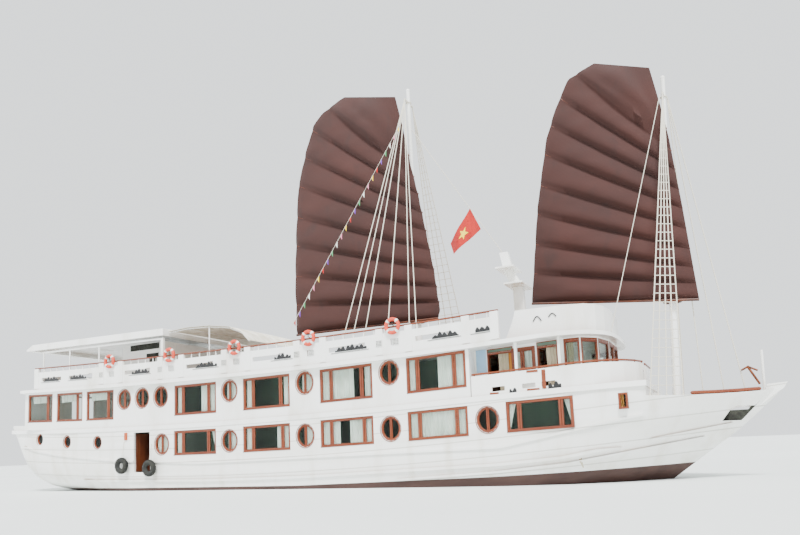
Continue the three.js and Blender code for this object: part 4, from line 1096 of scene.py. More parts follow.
class JUNK_OT_sails(bpy.types.Operator):
    """Bends the two batwing sails to their battens and booms"""

    bl_idname = "junk.sails"
    bl_label = "Sails"

    def execute(self, context):
        _, sizes = settings()
        for name, leech, luff, flat in SAILS:
            self.canvas(name, leech, luff, flat, sizes.billow)
            self.battens(name, leech, luff)
            dress(f"{name}_boom", FINISH["door"])
        return {"FINISHED"}

    @staticmethod
    def canvas(name, leech, luff, flat, billow):
        bm = bmesh.new()
        rows = (len(BATTENS) - 1) * 8
        made = bmesh.ops.create_grid(bm, x_segments=40, y_segments=rows, size=0.5)["verts"]
        for vert in made:
            vert.co = sail_point(leech, luff, vert.co.x + 0.5, vert.co.y + 0.5, billow)
        area = sum(face.calc_area() for face in bm.faces)
        bmesh.ops.solidify(bm, geom=bm.faces[:], thickness=0.012)
        sail = finished(
            bm,
            f"{name}_sail_canvas",
            [FINISH["canvas"]],
            f"{name}_sail_rig",
            replaces=[f"{name}_sail"],
            angle=70,
        )

    @staticmethod
    def battens(name, leech, luff):
        """Battens across the sail, and the yard along its head."""
        spars = bmesh.new()
        for luff_at, leech_at in BATTENS[1:-1]:
            a, b = along(luff, luff_at), along(leech, leech_at)
            bar(spars, (a.x, BATTEN_Y, a.y), (b.x, BATTEN_Y, b.y), 0.035, 8)
        a, b = along(luff, 0.72), Vector(leech[-1]).lerp(Vector(luff[-1]), 0.3)
        bar(spars, (a.x, BATTEN_Y, a.y), (b.x, BATTEN_Y, b.y), 0.03, 8)
        varnish, rig = [FINISH["varnish"]], f"{name}_sail_rig"
        finished(spars, f"{name}_sail_battens", varnish, rig)


# Masts and rigging
CROSSTREE = 0.47
ARM_HALF = 0.035
RAIL_FOOT_Y = 3.6  # half breadth where the main mast's ropes reach the deck
FOOT_GAP = 0.01
LADDER_TOP = 0.93  # share of a ladder's length that has rungs
FOREDECK = 2.56
FORE_SHROUD_FOOT = (15.84, 2.68)
FORE_ARM_Z = 15.6
MAIN_ARM_Z = 18.4
MAIN_MAST_X = 4.64
MAIN_SHROUD_XS = (2.28, 2.79, 3.44, 4.66, 5.79, 6.14)
MAIN_LADDER_XS = (4.43, 4.93, 5.42, 5.91)
AFT_STAY_FOOT = (13.62, -1.7, 5.83)
FORE_LADDER_XS = (14.98, 15.25, 15.52, 15.79, 16.06)
BOW_STAY_XS = (16.69, 17.48, 18.25)


def fore_mast_x(z):
    return 15.68 + 0.037 * (z - FOREDECK)


def bulwark_top(x):
    return 3.12 + 0.018 * (x - 16.3) ** 2


def bulwark_half(x):
    """Half breadth at the middle of the bow bulwark's edge."""
    return wall_at("hull_topsides", x, bulwark_top(x) - 0.03, -1) - 0.055


def rope(bm, a, b, diameter):
    bar(bm, a, b, diameter / 2, 6)


def rope_ladder(bm, feet, head, sizes):
    """Shrouds that meet at a masthead, with rungs tied across them."""
    for foot in feet:
        rope(bm, foot, head, sizes.rope)
        knob(bm, foot, 0.05, 8)
    first, last, top = Vector(feet[0]), Vector(feet[-1]), Vector(head)
    count = int((top - first).length * LADDER_TOP / sizes.rung_gap)
    for k in range(1, count):
        share = k * sizes.rung_gap / (top - first).length
        rope(bm, first.lerp(top, share), last.lerp(top, share), sizes.rope * 0.7)


class JUNK_OT_rigging(bpy.types.Operator):
    """Sets the masts, shrouds, ladders and stays"""

    bl_idname = "junk.rigging"
    bl_label = "Masts and rigging"

    def execute(self, context):
        _, sizes = settings()
        for node in ("fore_mast", "main_mast", "jack_staff"):
            painted = [FINISH["enamel"]]
            finished(
                copy_of(node), node + "_painted", painted, replaces=[node], outward=False
            )
        self.main_mast(sizes)
        self.fore_mast(sizes)
        dress("main_fore_stay", FINISH["rope"])
        return {"FINISHED"}

    def main_mast(self, sizes):
        """Six shrouds to starboard and a rope ladder to port."""
        bm = bmesh.new()
        self.crosstree(bm, MAIN_MAST_X, MAIN_ARM_Z)
        top = (MAIN_MAST_X, -CROSSTREE + 0.01, MAIN_ARM_Z - ARM_HALF)
        for x in MAIN_SHROUD_XS:
            foot = (x, -RAIL_FOOT_Y, sun_deck_top(x) + FOOT_GAP)
            rope(bm, foot, top, sizes.rope)
            knob(bm, foot, 0.05, 8)
        feet = [(x, RAIL_FOOT_Y, sun_deck_top(x) + FOOT_GAP) for x in MAIN_LADDER_XS]
        rope_ladder(bm, feet, (MAIN_MAST_X, CROSSTREE - 0.01, MAIN_ARM_Z - ARM_HALF), sizes)
        finished(bm, "main_mast_rigging", [FINISH["rope"]], replaces=["main_rigging"])

    def fore_mast(self, sizes):
        """A rope ladder to starboard, a shroud to port, and stays aft and to the bow."""
        bm = bmesh.new()
        x, z = fore_mast_x(FORE_ARM_Z), FORE_ARM_Z - ARM_HALF
        self.crosstree(bm, x, FORE_ARM_Z)
        feet = [(fx, -bulwark_half(fx), bulwark_top(fx) + FOOT_GAP) for fx in FORE_LADDER_XS]
        rope_ladder(bm, feet, (x, -CROSSTREE + 0.01, z), sizes)
        foot_x, foot_y = FORE_SHROUD_FOOT
        rope(bm, (foot_x, foot_y, bulwark_top(foot_x) + FOOT_GAP), (x, CROSSTREE - 0.01, z), sizes.rope)
        rope(bm, AFT_STAY_FOOT, (x - 0.1, -CROSSTREE + 0.01, z), sizes.rope * 0.7)
        for foot in BOW_STAY_XS:
            rope(bm, (foot, 0, FOREDECK + 0.05), (x + 0.14, 0, z), sizes.rope)
        finished(bm, "fore_mast_rigging", [FINISH["rope"]], replaces=["fore_rigging"])

    @staticmethod
    def crosstree(bm, x, z):
        low, high = z - ARM_HALF, z + ARM_HALF
        block(bm, x - ARM_HALF, x + ARM_HALF, -CROSSTREE, CROSSTREE, low, high)
        hoop(bm, (x, 0, z), 0.115, 0.03, 24, 8, (0, 0, 1))


# Sun deck rails, rings and parapet ironwork
RING_XS = (-11.08, -7.0, -2.99, 1.1, 5.23)
PARAPET_Y = 3.94
PARAPET_XS = (-16.95, 9.75)
PARAPET_TOP = 1.11
BLOCK_TOP = 1.31
RING_RADIUS = 0.285
RING_THICK = 0.08
# Cast cloud strips on the parapet: from and to
FRETS = (
    (-16.2, -15.0), (-14.1, -12.9), (-9.6, -8.4), (-5.4, -4.1),
    (-0.8, 0.1), (2.4, 3.95), (6.95, 8.1), (8.8, 9.4),
)
FRET_FOOT = 0.58
# Lattices: place from a life ring, and how far each stands off the wall
LATTICES = ((-0.68, 0.03), (0.08, 0))
LATTICE_HALF = 0.14
LATTICE_TALL = 0.26
RAIL_POSTS = 53
RAIL_POST_STEP = 0.5


def fretwork(bm, x0, x1, foot, height, rise, y0, y1):
    """A strip of cast clouds: flat foot and scalloped top, on a slope."""
    steps = max(8, round((x1 - x0) / 0.025))
    middle = (x0 + x1) / 2
    outline = [(x1, foot + rise * (x1 - middle)), (x0, foot + rise * (x0 - middle))]
    for k in range(steps + 1):
        x = x0 + (x1 - x0) * k / steps
        swell = math.sin(math.pi * (0.04 + 0.92 * k / steps)) ** 0.5
        lobes = 0.6 * abs(math.sin(x * 14)) + 0.4 * abs(math.sin(x * 6.1 + 1))
        outline.append((x, foot + rise * (x - middle) + 0.03 + height * swell * lobes))
    plate(bm, outline[::-1], y0, y1)


class JUNK_OT_sun_rails(bpy.types.Operator):
    """Lays the handrails on the parapets and hangs the life rings"""

    bl_idname = "junk.sun_rails"
    bl_label = "Sun deck rails"

    def execute(self, context):
        for label, side in SIDES:
            dress(f"parapet_{label}", FINISH["enamel"])
            self.clouds(label, side)
            self.lattices(label, side)
            self.handrail(label, side)
            self.life_rings(label, side)
        return {"FINISHED"}

    @staticmethod
    def handrail(label, side):
        y = side * (PARAPET_Y - 0.045)
        bm = bmesh.new()
        xs = [PARAPET_XS[0], *range(-16, 10, 2), PARAPET_XS[1]]
        for a, b in zip(xs, xs[1:]):
            rail = sheared(a, b, BLOCK_TOP + 0.002, BLOCK_TOP + 0.06, eave)
            plate(bm, rail, y - 0.06, y + 0.06)
        name = f"sun_handrail_{label}"
        finished(bm, name, [FINISH["varnish"]], bevel=0.012)

    def life_rings(self, label, side):
        bm = bmesh.new()
        for x in RING_XS:
            self.life_ring(bm, x, side)
        materials = [FINISH["ring"], FINISH["ring_band"], FINISH["black_iron"]]
        finished(bm, f"life_rings_{label}", materials, replaces=[f"sun_rail_{label}"])

    @staticmethod
    def clouds(label, side):
        """Cast clouds over the long holes, each on its sill."""
        face = side * (PARAPET_Y + 0.001)
        bm = bmesh.new()
        for x0, x1 in FRETS:
            foot = eave((x0 + x1) / 2) + FRET_FOOT
            rise = (eave(x1) - eave(x0)) / (x1 - x0)
            fretwork(bm, x0, x1, foot, 0.25, rise, face, face + side * 0.014)
            sill = [(x0 - 0.2, -0.05), (x1 + 0.1, -0.05), (x1 + 0.1, -0.035), (x0 - 0.2, -0.035)]
            sill = [(x, foot + up + rise * (x - (x0 + x1) / 2)) for x, up in sill]
            plate(bm, sill, face, face + side * 0.02)
        finished(bm, f"parapet_clouds_{label}", [FINISH["black_iron"]])

    @staticmethod
    def lattices(label, side):
        """White lattices on grey squares, and the posts under the handrail."""
        squares, bars = bmesh.new(), bmesh.new()
        for x, stand in [(ring + at, stand) for ring in RING_XS for at, stand in LATTICES]:
            low, face = eave(x) + 0.57, side * (PARAPET_Y + stand + 0.001)
            left, right, high = x - LATTICE_HALF, x + LATTICE_HALF, low + LATTICE_TALL
            outline = [(left, low), (right, low), (right, high), (left, high)]
            plate(squares, outline, face, face + side * 0.008)
            for k in range(5):
                at = -LATTICE_HALF + 0.065 * k
                block(bars, x + at, x + at + 0.013, face, face + side * 0.025, low, high)
                z = low + 0.062 * k
                block(bars, left, right, face, face + side * 0.022, z, z + 0.012)
        finished(squares, f"parapet_squares_{label}", [FINISH["lattice"]])
        y = side * (PARAPET_Y - 0.045)
        for k in range(RAIL_POSTS):
            x = PARAPET_XS[0] + 0.25 + RAIL_POST_STEP * k
            low, high = eave(x) + PARAPET_TOP - 0.002, eave(x) + BLOCK_TOP + 0.01
            block(bars, x - 0.015, x + 0.015, y - 0.02, y + 0.02, low, high)
        finished(bars, f"parapet_lattices_{label}", [FINISH["enamel"]])

    @staticmethod
    def life_ring(bm, x, side):
        """A ring with four white bands, on its bracket."""
        y = side * (PARAPET_Y + 0.1)
        z = eave(x) + BLOCK_TOP + 0.04
        before = set(bm.faces)
        hoop(bm, (x, y, z), RING_RADIUS, RING_THICK, 40, 14)
        for face in set(bm.faces) - before:
            middle = face.calc_center_median()
            turn = math.degrees(math.atan2(middle.z - z, middle.x - x)) % 90
            face.material_index = int(36 < turn < 54)
        before = set(bm.faces)
        block(bm, x - 0.012, x + 0.012, side * (PARAPET_Y - 0.04), y, z + 0.03, z + 0.05)
        block(bm, x - 0.012, x + 0.012, y - 0.012, y + 0.012, z + 0.03, z + 0.26)
        paint(bm, before, 2)


# Canopy and awning
CANOPY_FORE = -7.75
AWNING_AFT = CANOPY_FORE + 0.03
HOOP_PLACES = (0.06, 1.2, 2.6, 3.8, 4.6)
AWNING_LEG_Y = 3.25
AWNING_TOP = ((0, 8.03), (1.2, 8.09), (2.6, 8.03), (3.8, 7.85), (4.6, 7.5), (5.0, 7.06))
AWNING_HALF = 3.35


def awning_height(at):
    """Height of the awning's cloth at a distance ahead of the canopy."""
    for (x0, z0), (x1, z1) in zip(AWNING_TOP, AWNING_TOP[1:]):
        if at <= x1:
            return z0 + (z1 - z0) * (at - x0) / (x1 - x0)
    return AWNING_TOP[-1][1]


class JUNK_OT_awning(bpy.types.Operator):
    """Stretches the awning over its hoops"""

    bl_idname = "junk.awning"
    bl_label = "Awning"

    def execute(self, context):
        self.cloth()
        self.hoops()
        return {"FINISHED"}

    @staticmethod
    def cloth():
        """Canvas that sags a little between its hoops."""
        length = AWNING_TOP[-1][0]
        bm = bmesh.new()
        made = bmesh.ops.create_grid(bm, x_segments=56, y_segments=36, size=0.5)["verts"]
        for vert in made:
            at, across = (vert.co.x + 0.5) * length, vert.co.y * 2
            crown = -0.05 * across**2
            sag = -0.03 * abs(math.sin(math.pi * at / 1.4)) * (1 - across**2)
            z = awning_height(at) + crown + sag - 0.01
            vert.co = (CANOPY_FORE + 0.03 + at, across * AWNING_HALF, z)
        area = sum(face.calc_area() for face in bm.faces)
        bmesh.ops.solidify(bm, geom=bm.faces[:], thickness=0.008)
        canvas = [FINISH["awning"]]
        cloth = finished(bm, "awning_cloth", canvas, replaces=["awning"], angle=60)

    @staticmethod
    def hoops():
        """Cross bars under the cloth, and on each side a leg and a side bar that bends with it."""
        bm = bmesh.new()
        for at in HOOP_PLACES:
            x, z = AWNING_AFT + at, awning_height(at) - 0.13
            bar(bm, (x, -AWNING_HALF + 0.05, z), (x, AWNING_HALF - 0.05, z), 0.025, 8)
        for y in (-AWNING_LEG_Y, AWNING_LEG_Y):
            x = CANOPY_FORE + 2.6
            bar(bm, (x, y, sun_deck_top(x) + 0.006), (x, y, 7.95), 0.032, 10)
            for (a0, z0), (a1, z1) in zip(AWNING_TOP, AWNING_TOP[1:]):
                start, end = (AWNING_AFT + a0, y, z0 - 0.12), (AWNING_AFT + a1, y, z1 - 0.12)
                bar(bm, start, end, 0.025, 8)
        finished(bm, "awning_hoops", [FINISH["enamel"]])


# Gallery and wheelhouse
GALLERY_Y = 3.05
BULWARK_Y = 3.77
DOORWAY_LIGHT = (3.36, 5.02)
GALLERY_LIGHT = (4.15, 5.02)
GALLERY_WINDOW = (10.42, 0.78)
# Ends of the wheelhouse's panes in plan, on the port side
BRIDGE_PANES = (
    ((12.06, 3.05), (12.56, 3.05)),
    ((12.69, 2.992), (13.14, 2.468)),
    ((13.2, 2.31), (13.4, 1.29)),
    ((13.42, 1.08), (13.42, 0.09)),
)
PANE_LIGHT = (4.48, 5.4)
# Curtains in the gallery's doorways: from, to, cloth
DOORWAY_CURTAINS = ((9.36, 9.78, 1), (9.78, 9.97, 2), (11.3, 11.74, 1))
# Brown strips that frame the bulwark's gate: x, z, width, height
GATE_STRIPS = (
    (10.91, 4.31, 0.44, 0.09),
    (11.34, 3.98, 0.15, 0.72),
    (10.92, 3.62, 0.48, 0.075),
    (9.38, 3.575, 0.36, 0.075),
)
# Doorways of the gallery: middle and width
DOORWAYS = ((9.47, 1.08), (11.37, 0.82))
# Pale blue panel beside the gallery: x, z of its corners
BLUE_PANEL = ((8.47, 4.5), (8.9, 4.5), (8.9, 5.42), (8.47, 5.4))
BRIDGE_CURTAIN = (12.1, 12.34)
# Cast clouds on the bulwark: from, to, foot, height
BULWARK_CLOUDS = ((9.99, 10.27, 3.55, 0.24), (11.49, 11.98, 3.61, 0.28))
# Doors: node, x of the doorway, its width, half breadth of the wall, foot and head over the deck line,
# swing, glazed
DOORS = (
    ("boarding_door", -9.08, 1.08, 3.75, 1.045, 2.95, 80, False),
    ("gallery_door", 9.47, 1.08, 3.05, 3.4, 4.96, 85, True),
    ("bridge_door", 11.37, 0.82, 3.05, 3.4, 4.96, 85, True),
)


def door_leaf(bm, width, height, glazed):
    """A framed leaf, from its hinge along x: stiles, rails, a raised panel below, glass or a panel above."""
    edge, thick = 0.095, 0.022
    middle = height * (0.38 if glazed else 0.5)
    low, high = 0.14, height - 0.1
    for x0, x1, z0, z1 in (
        (0.012, 0.012 + edge, 0, height),
        (width - edge, width, 0, height),
        (0.012 + edge, width - edge, 0, low),
        (0.012 + edge, width - edge, middle - 0.05, middle + 0.05),
        (0.012 + edge, width - edge, high, height),
    ):
        block(bm, x0, x1, -thick, thick, z0, z1)
    inner = (0.012 + edge, width - edge)
    panels = [(low, middle - 0.05)] if glazed else [(low, middle - 0.05), (middle + 0.05, high)]
    for z0, z1 in panels:
        block(bm, *inner, -0.008, 0.008, z0, z1)
        block(bm, inner[0] + 0.06, inner[1] - 0.06, -0.016, 0.016, z0 + 0.06, z1 - 0.06)
    if glazed:
        before = set(bm.faces)
        block(bm, *inner, -0.004, 0.004, middle + 0.05, high)
        paint(bm, before, 1)
    before = set(bm.faces)
    for y in (-0.019, 0.019):
        knob(bm, (width - edge / 2, y, middle + 0.02), 0.018, 8)
    paint(bm, before, 2)


class JUNK_OT_gallery(bpy.types.Operator):
    """Fits the gallery's doors, window and curtains, and the wheelhouse's panes"""

    bl_idname = "junk.gallery"
    bl_label = "Gallery and wheelhouse"

    def execute(self, context):
        _, sizes = settings()
        for label, side in SIDES:
            self.doors(label, side)
            self.openings(label, side, sizes)
            self.bulwark(label, side)
            panel, y = bmesh.new(), side * GALLERY_Y
            plate(panel, BLUE_PANEL, y + side * 0.001, y + side * 0.013)
            finished(panel, f"gallery_panel_{label}", [FINISH["blue_panel"]], bevel=0.003)
        return {"FINISHED"}

    def openings(self, label, side, sizes):
        """Frames, glass and curtains of the doorways, the gallery's window and the wheelhouse."""
        glazing, painted_shade_plates = Glazing(side, reach=GALLERY_Y), bmesh.new()
        y = side * GALLERY_Y
        for x, width in DOORWAYS:
            self.doorway(glazing, painted_shade_plates, x, width)
        for x0, x1, cloth in DOORWAY_CURTAINS:
            foot, head = sheer(x0) + DOORWAY_LIGHT[0], sheer(x0) + DOORWAY_LIGHT[1]
            glazing.curtain(x0, x1, foot, head, y, cloth=cloth)
        x, width = GALLERY_WINDOW
        outline = sheared(x - width / 2, x + width / 2, *GALLERY_LIGHT)
        rim(glazing.frames, grown(outline, 0.085), 0.1, y + side * 0.001, y + side * 0.035)
        whole = ((0.0, 1.0, STRAIGHT),)
        glazing.rectangle(x, width, GALLERY_LIGHT, (0.42,), whole, sizes, frame=0.05)
        for ends in BRIDGE_PANES:
            start, end = [(px, side * py) for px, py in ends]
            glazing.turned(start, end, lambda run: self.pane(glazing, run))
        glazing.curtain(*BRIDGE_CURTAIN, *PANE_LIGHT, y, cloth=1)
        glazing.close(f"gallery_{label}")
        finished(painted_shade_plates, f"gallery_fanlight_painted_shade_{label}", [FINISH["partition"]])

    @staticmethod
    def doorway(glazing, painted_shade_plates, x, width):
        """A doorway's frame, and over it a fanlight frame that reaches the eave, filled with a dark plate of
        painted shade.
        """
        side, y = glazing.side, glazing.side * GALLERY_Y
        outline = sheared(x - width / 2, x + width / 2, *DOORWAY_LIGHT)
        rim(glazing.frames, grown(outline, -0.002), 0.055, y - side * 0.09, y + side * 0.012)
        (x0, _), (x1, _), (_, z1), (_, z0) = outline
        tops = [(x1, eave(x1) - 0.015), (x0, eave(x0) - 0.015)]
        fanlight = [(x0, z0 + 0.003), (x1, z1 + 0.003), *tops]
        rim(glazing.frames, fanlight, 0.035, y + side * 0.001, y + side * 0.02)
        # A dull green-grey plate in the fanlight: painted shade
        plate(painted_shade_plates, grown(fanlight, -0.036), y + side * 0.001, y + side * 0.008)

    @staticmethod
    def pane(glazing, run):
        """One pane of the wheelhouse, along a wall that starts at the origin, with its trim outside."""
        sill, top = PANE_LIGHT
        outline = [(0, sill), (run, sill), (run, top), (0, top)]
        rim(glazing.frames, grown(outline, 0.05), 0.07, glazing.side * 0.001, glazing.side * 0.014)
        rim(glazing.frames, grown(outline, -0.002), 0.03, glazing.depth(0, 0.08), glazing.depth(0, 0.012))
        plate(glazing.panes, grown(outline, -0.034), glazing.depth(0, 0.05), glazing.depth(0, 0.058))
        head = [(-0.05, top + 0.052), (run + 0.05, top + 0.052)]
        head += [(x, z + 0.075) for x, z in head[::-1]]
        plate(glazing.frames, head, glazing.side * 0.001, glazing.side * 0.012)

    @staticmethod
    def doors(label, side):
        """Each door's leaf, turned on its hinge to the angle it stands open at."""
        for name, x, width, half, foot, head, swing, glazed in DOORS:
            bm = bmesh.new()
            door_leaf(bm, width - 0.11, head - foot, glazed)
            hinge = Vector((x - width / 2 + 0.06, side * (half - WALL / 2), sheer(x) + foot))
            turn = Matrix.Rotation(math.radians(-side * swing), 4, "Z")
            bmesh.ops.transform(bm, matrix=Matrix.Translation(hinge) @ turn, verts=bm.verts)
            node = f"{name}_{label}"
            materials = [FINISH["door"], FINISH["glass"], FINISH["bronze"]]
            leaf, body = node + "_leaf", node_body(node)
            finished(bm, leaf, materials, body, replaces=[node])

    @staticmethod
    def bulwark(label, side):
        """Brown strips and cast clouds on the outside of the gallery's bulwark."""
        y = side * (BULWARK_Y + 0.001)
        strips, clouds = bmesh.new(), bmesh.new()
        for x, z, width, height in GATE_STRIPS:
            block(strips, x - width / 2, x + width / 2, y, y + side * 0.016, z - height / 2, z + height / 2)
        finished(strips, f"gate_strips_{label}", [FINISH["varnish"]], bevel=0.003)
        for x0, x1, foot, height in BULWARK_CLOUDS:
            fretwork(clouds, x0, x1, foot, height, 0.033, y, y + side * 0.014)
        finished(clouds, f"bulwark_clouds_{label}", [FINISH["black_iron"]])


# Flags
# Hoist top and foot, then fly foot and top
FLAG_CORNERS = ((7.52, 12.5), (8.0, 11.43), (6.61, 10.48), (6.45, 11.03))
FLAG_Y = -0.03
STAR_RADIUS = 0.27
PENNANT_LINE = ((4.64, -0.8, 17.2), (-0.1, -3.8, 7.0))  # from a main shroud to the parapet
PENNANT_STEP = 0.46
PENNANT_CLOTHS = ("flag", "star", "pink_pennant", "white_pennant", "green_pennant", "purple_pennant")


def flag_point(across, up):
    """A point of the waving flag: across from hoist to fly, up from foot to top."""
    top, foot, fly_foot, fly_top = [Vector((x, z)) for x, z in FLAG_CORNERS]
    spot = foot.lerp(top, up).lerp(fly_foot.lerp(fly_top, up), across)
    wave = 0.085 * across * math.sin(6.5 * across + 1.2 * up)
    return Vector((spot.x, FLAG_Y + wave, spot.y))


class JUNK_OT_bunting(bpy.types.Operator):
    """Flies the flag and a string of pennants"""

    bl_idname = "junk.bunting"
    bl_label = "Flag and pennants"

    def execute(self, context):
        bm = bmesh.new()
        for vert in bmesh.ops.create_grid(bm, x_segments=36, y_segments=20, size=0.5)["verts"]:
            vert.co = flag_point(vert.co.x + 0.5, vert.co.y + 0.5)
        area = sum(face.calc_area() for face in bm.faces)
        bmesh.ops.solidify(bm, geom=bm.faces[:], thickness=0.004)
        flag = finished(bm, "flag_cloth", [FINISH["flag"]], replaces=["flag"], angle=60)
        self.star()
        self.pennants()
        return {"FINISHED"}

    @staticmethod
    def star():
        """A five-pointed star sewn on both sides of the flag."""
        bm = bmesh.new()
        size = {"segments": 10, "radius": STAR_RADIUS}
        made = bmesh.ops.create_circle(bm, cap_ends=True, cap_tris=True, **size)["verts"]
        rim_verts = [vert for vert in made if vert.co.length > STAR_RADIUS / 2]
        for k, vert in enumerate(rim_verts):
            vert.co *= 0.4 if k % 2 else 1.0
        bmesh.ops.subdivide_edges(bm, edges=bm.edges[:], cuts=2, use_grid_fill=True)
        for vert in bm.verts:
            vert.co = flag_point(0.5 + vert.co.y / 1.55, 0.5 + vert.co.x / 1.0)
        bmesh.ops.solidify(bm, geom=bm.faces[:], thickness=0.03)
        middle = sum(vert.co.y - flag_point(0.5, 0.5).y for vert in bm.verts) / len(bm.verts)
        for vert in bm.verts:
            vert.co.y -= math.copysign(0.015, middle)
        finished(bm, "flag_star", [FINISH["star"]], angle=60)

    @staticmethod
    def pennants():
        """Small three-cornered flags along a taut line."""
        start, end = [Vector(point) for point in PENNANT_LINE]
        line = bmesh.new()
        rope(line, start, end, 0.016)
        finished(line, "pennant_line", [FINISH["rope"]])
        bm = bmesh.new()
        run = (end - start).normalized()
        count = int((end - start).length / PENNANT_STEP)
        for k in range(1, count):
            spot = start + run * PENNANT_STEP * k
            half, drop = 0.1, 0.24
            corners = (spot - run * half, spot + run * half, spot + Vector((0.02, 0.03, -drop)))
            face = bm.faces.new([bm.verts.new(point) for point in corners])
            face.material_index = k % len(PENNANT_CLOTHS)
        bmesh.ops.subdivide_edges(bm, edges=bm.edges[:], cuts=2, use_grid_fill=True)
        area = sum(face.calc_area() for face in bm.faces)
        bmesh.ops.solidify(bm, geom=bm.faces[:], thickness=0.003)
        pennants = finished(bm, "pennants", [FINISH[name] for name in PENNANT_CLOTHS], angle=60)


# Fenders and small fittings
TYRE_NODES = ("tyre_fender_aft", "tyre_fender_fore")
# Grips on the wheelhouse's brow: from, to, foot, height
ROOF_ARCS = ((10.965, 11.27, 6.29, 0.18), (11.57, 11.845, 6.4, 0.12))
ROOF_GRIP_Y = 3.325
# Lamp box on the lower wall: x, foot, head
LAMP_BOX = (-10.14, 2.56, 2.94)
BAR_Y = 2.7
# Boards on the side of the bar house: x from and to, foot and head, 0 for enamel or 1 for a near-black board
# of painted shade in a hatch
BAR_BOARDS = (
    (-11.24, -9.06, 7.1, 7.3, 0),
    (-11.24, -11.023, 7.303, 7.5, 0),
    (-11.02, -8.97, 7.303, 7.62, 1),
    (-9.87, -9.02, 6.88, 7.08, 1),
)
# Scupper: x, foot of its run of rust, height of its lip
SCUPPER = (12.38, 0.62, 0.95)


class JUNK_OT_fenders(bpy.types.Operator):
    """Hangs the tyre fenders and sets the small fittings on the walls"""

    bl_idname = "junk.fenders"
    bl_label = "Fenders and lamps"

    def execute(self, context):
        for label, side in SIDES:
            self.tyres(label, side)
            self.lamp(label, side)
            self.bar_boards(label, side)
            self.scupper(label, side)
            self.roof_grips(label, side)
        return {"FINISHED"}

    def tyres(self, label, side):
        """The side's tyres, and the ropes that they hang from."""
        ropes = bmesh.new()
        for kind in TYRE_NODES:
            node = f"{kind}_{label}"
            low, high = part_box(node)
            self.tyre(node, Vector(low), Vector(high))
            middle = (Vector(low) + Vector(high)) / 2
            wall = wall_at(f"lower_wall_{label}", middle.x, 2.2, side)
            top = (middle.x, side * (wall + 0.02), high[2] + 0.75)
            rope(ropes, (middle.x, middle.y, high[2] - 0.1), top, 0.024)
            knob(ropes, top, 0.03, 8)
        finished(ropes, f"fender_ropes_{label}", [FINISH["rope"]])

    @staticmethod
    def lamp(label, side):
        bm = bmesh.new()
        y = side * 3.751
        x, low, high = LAMP_BOX
        block(bm, x - 0.09, x + 0.09, y, y + side * 0.1, low, high)
        finished(bm, f"lamp_box_{label}", [FINISH["lamp_box"]], bevel=0.012)

    @staticmethod
    def bar_boards(label, side):
        bm = bmesh.new()
        y = side * (BAR_Y + 0.001)
        for x0, x1, foot, head, number in BAR_BOARDS:
            before = set(bm.faces)
            block(bm, x0, x1, y, y + side * 0.014, foot, head)
            paint(bm, before, number)
        # Number 1 is a near-black board of painted shade where the hatches open
        finished(bm, f"bar_boards_{label}", [FINISH["enamel"], FINISH["hatch_shade"]], bevel=0.003)

    @staticmethod
    def roof_grips(label, side):
        """Arched grips on the wheelhouse's brow."""
        bm = bmesh.new()
        for x0, x1, foot, height in ROOF_ARCS:
            shares = [k / 8 for k in range(9)]
            points = [
                (x0 + (x1 - x0) * t, side * ROOF_GRIP_Y, foot + height * math.sin(math.pi * t))
                for t in shares
            ]
            for a, b in zip(points, points[1:]):
                bar(bm, a, b, 0.02, 8)
            knob(bm, points[0], 0.022)
            knob(bm, points[-1], 0.022)
        finished(bm, f"roof_grips_{label}", [FINISH["black_iron"]])

    @staticmethod
    def scupper(label, side):
        """A scupper's bronze lip, with the run of rust below it that follows the planking."""
        x, low, high = SCUPPER
        bm = bmesh.new()
        for vert in bmesh.ops.create_grid(bm, x_segments=2, y_segments=8, size=0.5)["verts"]:
            up = vert.co.y + 0.5
            place = x + 0.05 * (1 - up) + vert.co.x * (0.05 + 0.05 * up)
            z = low + (high - low) * up
            vert.co = (place, side * (wall_at("hull_topsides", place, z, side) + 0.001), z)
        bmesh.ops.solidify(bm, geom=bm.faces[:], thickness=0.002)
        finished(bm, f"scupper_run_{label}", [FINISH["stain"]])
        lip = bmesh.new()
        hoop(lip, (x, side * wall_at("hull_topsides", x, high, side), high + 0.02), 0.045, 0.012, 20, 8)
        finished(lip, f"scupper_lip_{label}", [FINISH["bronze"]])

    @staticmethod
    def tyre(node, low, high):
        """A tyre with tread blocks round it."""
        bm = bmesh.new()
        centre, half = (low + high) / 2, (high - low) / 2
        thick = half.y * 0.97
        radius = half.z - half.y
        hoop(bm, centre, radius, thick, 40, 16)
        hoop(bm, centre, radius - thick * 0.75, thick * 0.55, 40, 10)
        for k in range(30):
            turn = 2 * math.pi * k / 30
            out = Vector((math.cos(turn), 0, math.sin(turn)))
            for across, lead in ((-0.5, 0.0), (0.0, 0.5), (0.5, 0.0)):
                verts = block(bm, -0.02, 0.02, -thick * 0.2, thick * 0.2, -0.009, 0.009)
                spin = Matrix.Rotation(-(turn + lead * 0.2), 4, "Y") @ Matrix.Rotation(math.pi / 2, 4, "Y")
                reach = radius + thick * math.sqrt(1 - across**2 * 0.55) - 0.004
                shift = Matrix.Rotation(-lead * 0.2, 4, "Y") @ out * reach + Vector((0, across * thick, 0))
                bmesh.ops.transform(bm, matrix=Matrix.Translation(centre + shift) @ spin, verts=verts)
        finished(bm, node + "_tread", [FINISH["rubber"]], replaces=[node])


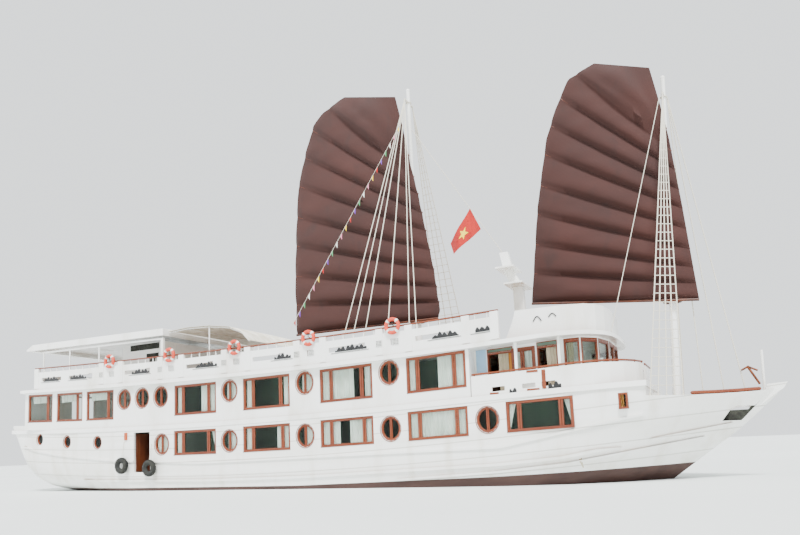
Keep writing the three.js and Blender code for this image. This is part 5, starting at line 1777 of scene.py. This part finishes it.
# Solids that keep their form: name, finish
KEPT_FINISHES = (
    ("signal_mast", "enamel"),
    ("anchor", "iron"),
    ("windlass", "iron"),
    ("cap_rail_starboard", "varnish"),
    ("cap_rail_port", "varnish"),
    ("gallery_rail_starboard", "varnish"),
    ("gallery_rail_port", "varnish"),
    ("propeller_starboard", "bronze"),
    ("propeller_port", "bronze"),
    ("shaft_starboard", "steel"),
    ("shaft_port", "steel"),
    ("rudder_starboard", "antifouling"),
    ("rudder_port", "antifouling"),
)


class JUNK_OT_fittings(bpy.types.Operator):
    """Finishes the fittings that keep their solid's form"""

    bl_idname = "junk.fittings"
    bl_label = "Fittings"

    def execute(self, context):
        for node, material in KEPT_FINISHES:
            dress(node, FINISH[material])
        return {"FINISHED"}


class JUNK_PT_panel(bpy.types.Panel):
    """The ship's pieces"""

    bl_label = "Junk"
    bl_idname = "JUNK_PT_panel"
    bl_space_type = "VIEW_3D"
    bl_region_type = "UI"
    bl_category = "Junk"

    def draw(self, context):
        for operator in OPERATORS:
            self.layout.operator(operator.bl_idname)
        for group in (context.scene.junk_colours, context.scene.junk_sizes):
            for key in group.__annotations__:
                self.layout.prop(group, key)


OPERATORS = (
    JUNK_OT_finishes,
    JUNK_OT_stage,
    JUNK_OT_hull,
    JUNK_OT_windows,
    JUNK_OT_sails,
    JUNK_OT_rigging,
    JUNK_OT_sun_rails,
    JUNK_OT_awning,
    JUNK_OT_gallery,
    JUNK_OT_bunting,
    JUNK_OT_fenders,
    JUNK_OT_fittings,
)
CLASSES = (JunkColours, JunkSizes, *OPERATORS, JUNK_PT_panel)


def register():
    for item in CLASSES:
        bpy.utils.register_class(item)
    bpy.types.Scene.junk_colours = bpy.props.PointerProperty(type=JunkColours)
    bpy.types.Scene.junk_sizes = bpy.props.PointerProperty(type=JunkSizes)


def unregister():
    del bpy.types.Scene.junk_sizes
    del bpy.types.Scene.junk_colours
    for item in reversed(CLASSES):
        bpy.utils.unregister_class(item)


def main():
    """Makes every piece in order."""
    register()
    for operator in OPERATORS:
        group, name = operator.bl_idname.split(".")
        getattr(getattr(bpy.ops, group), name)()


if __name__ == "__main__":
    main()
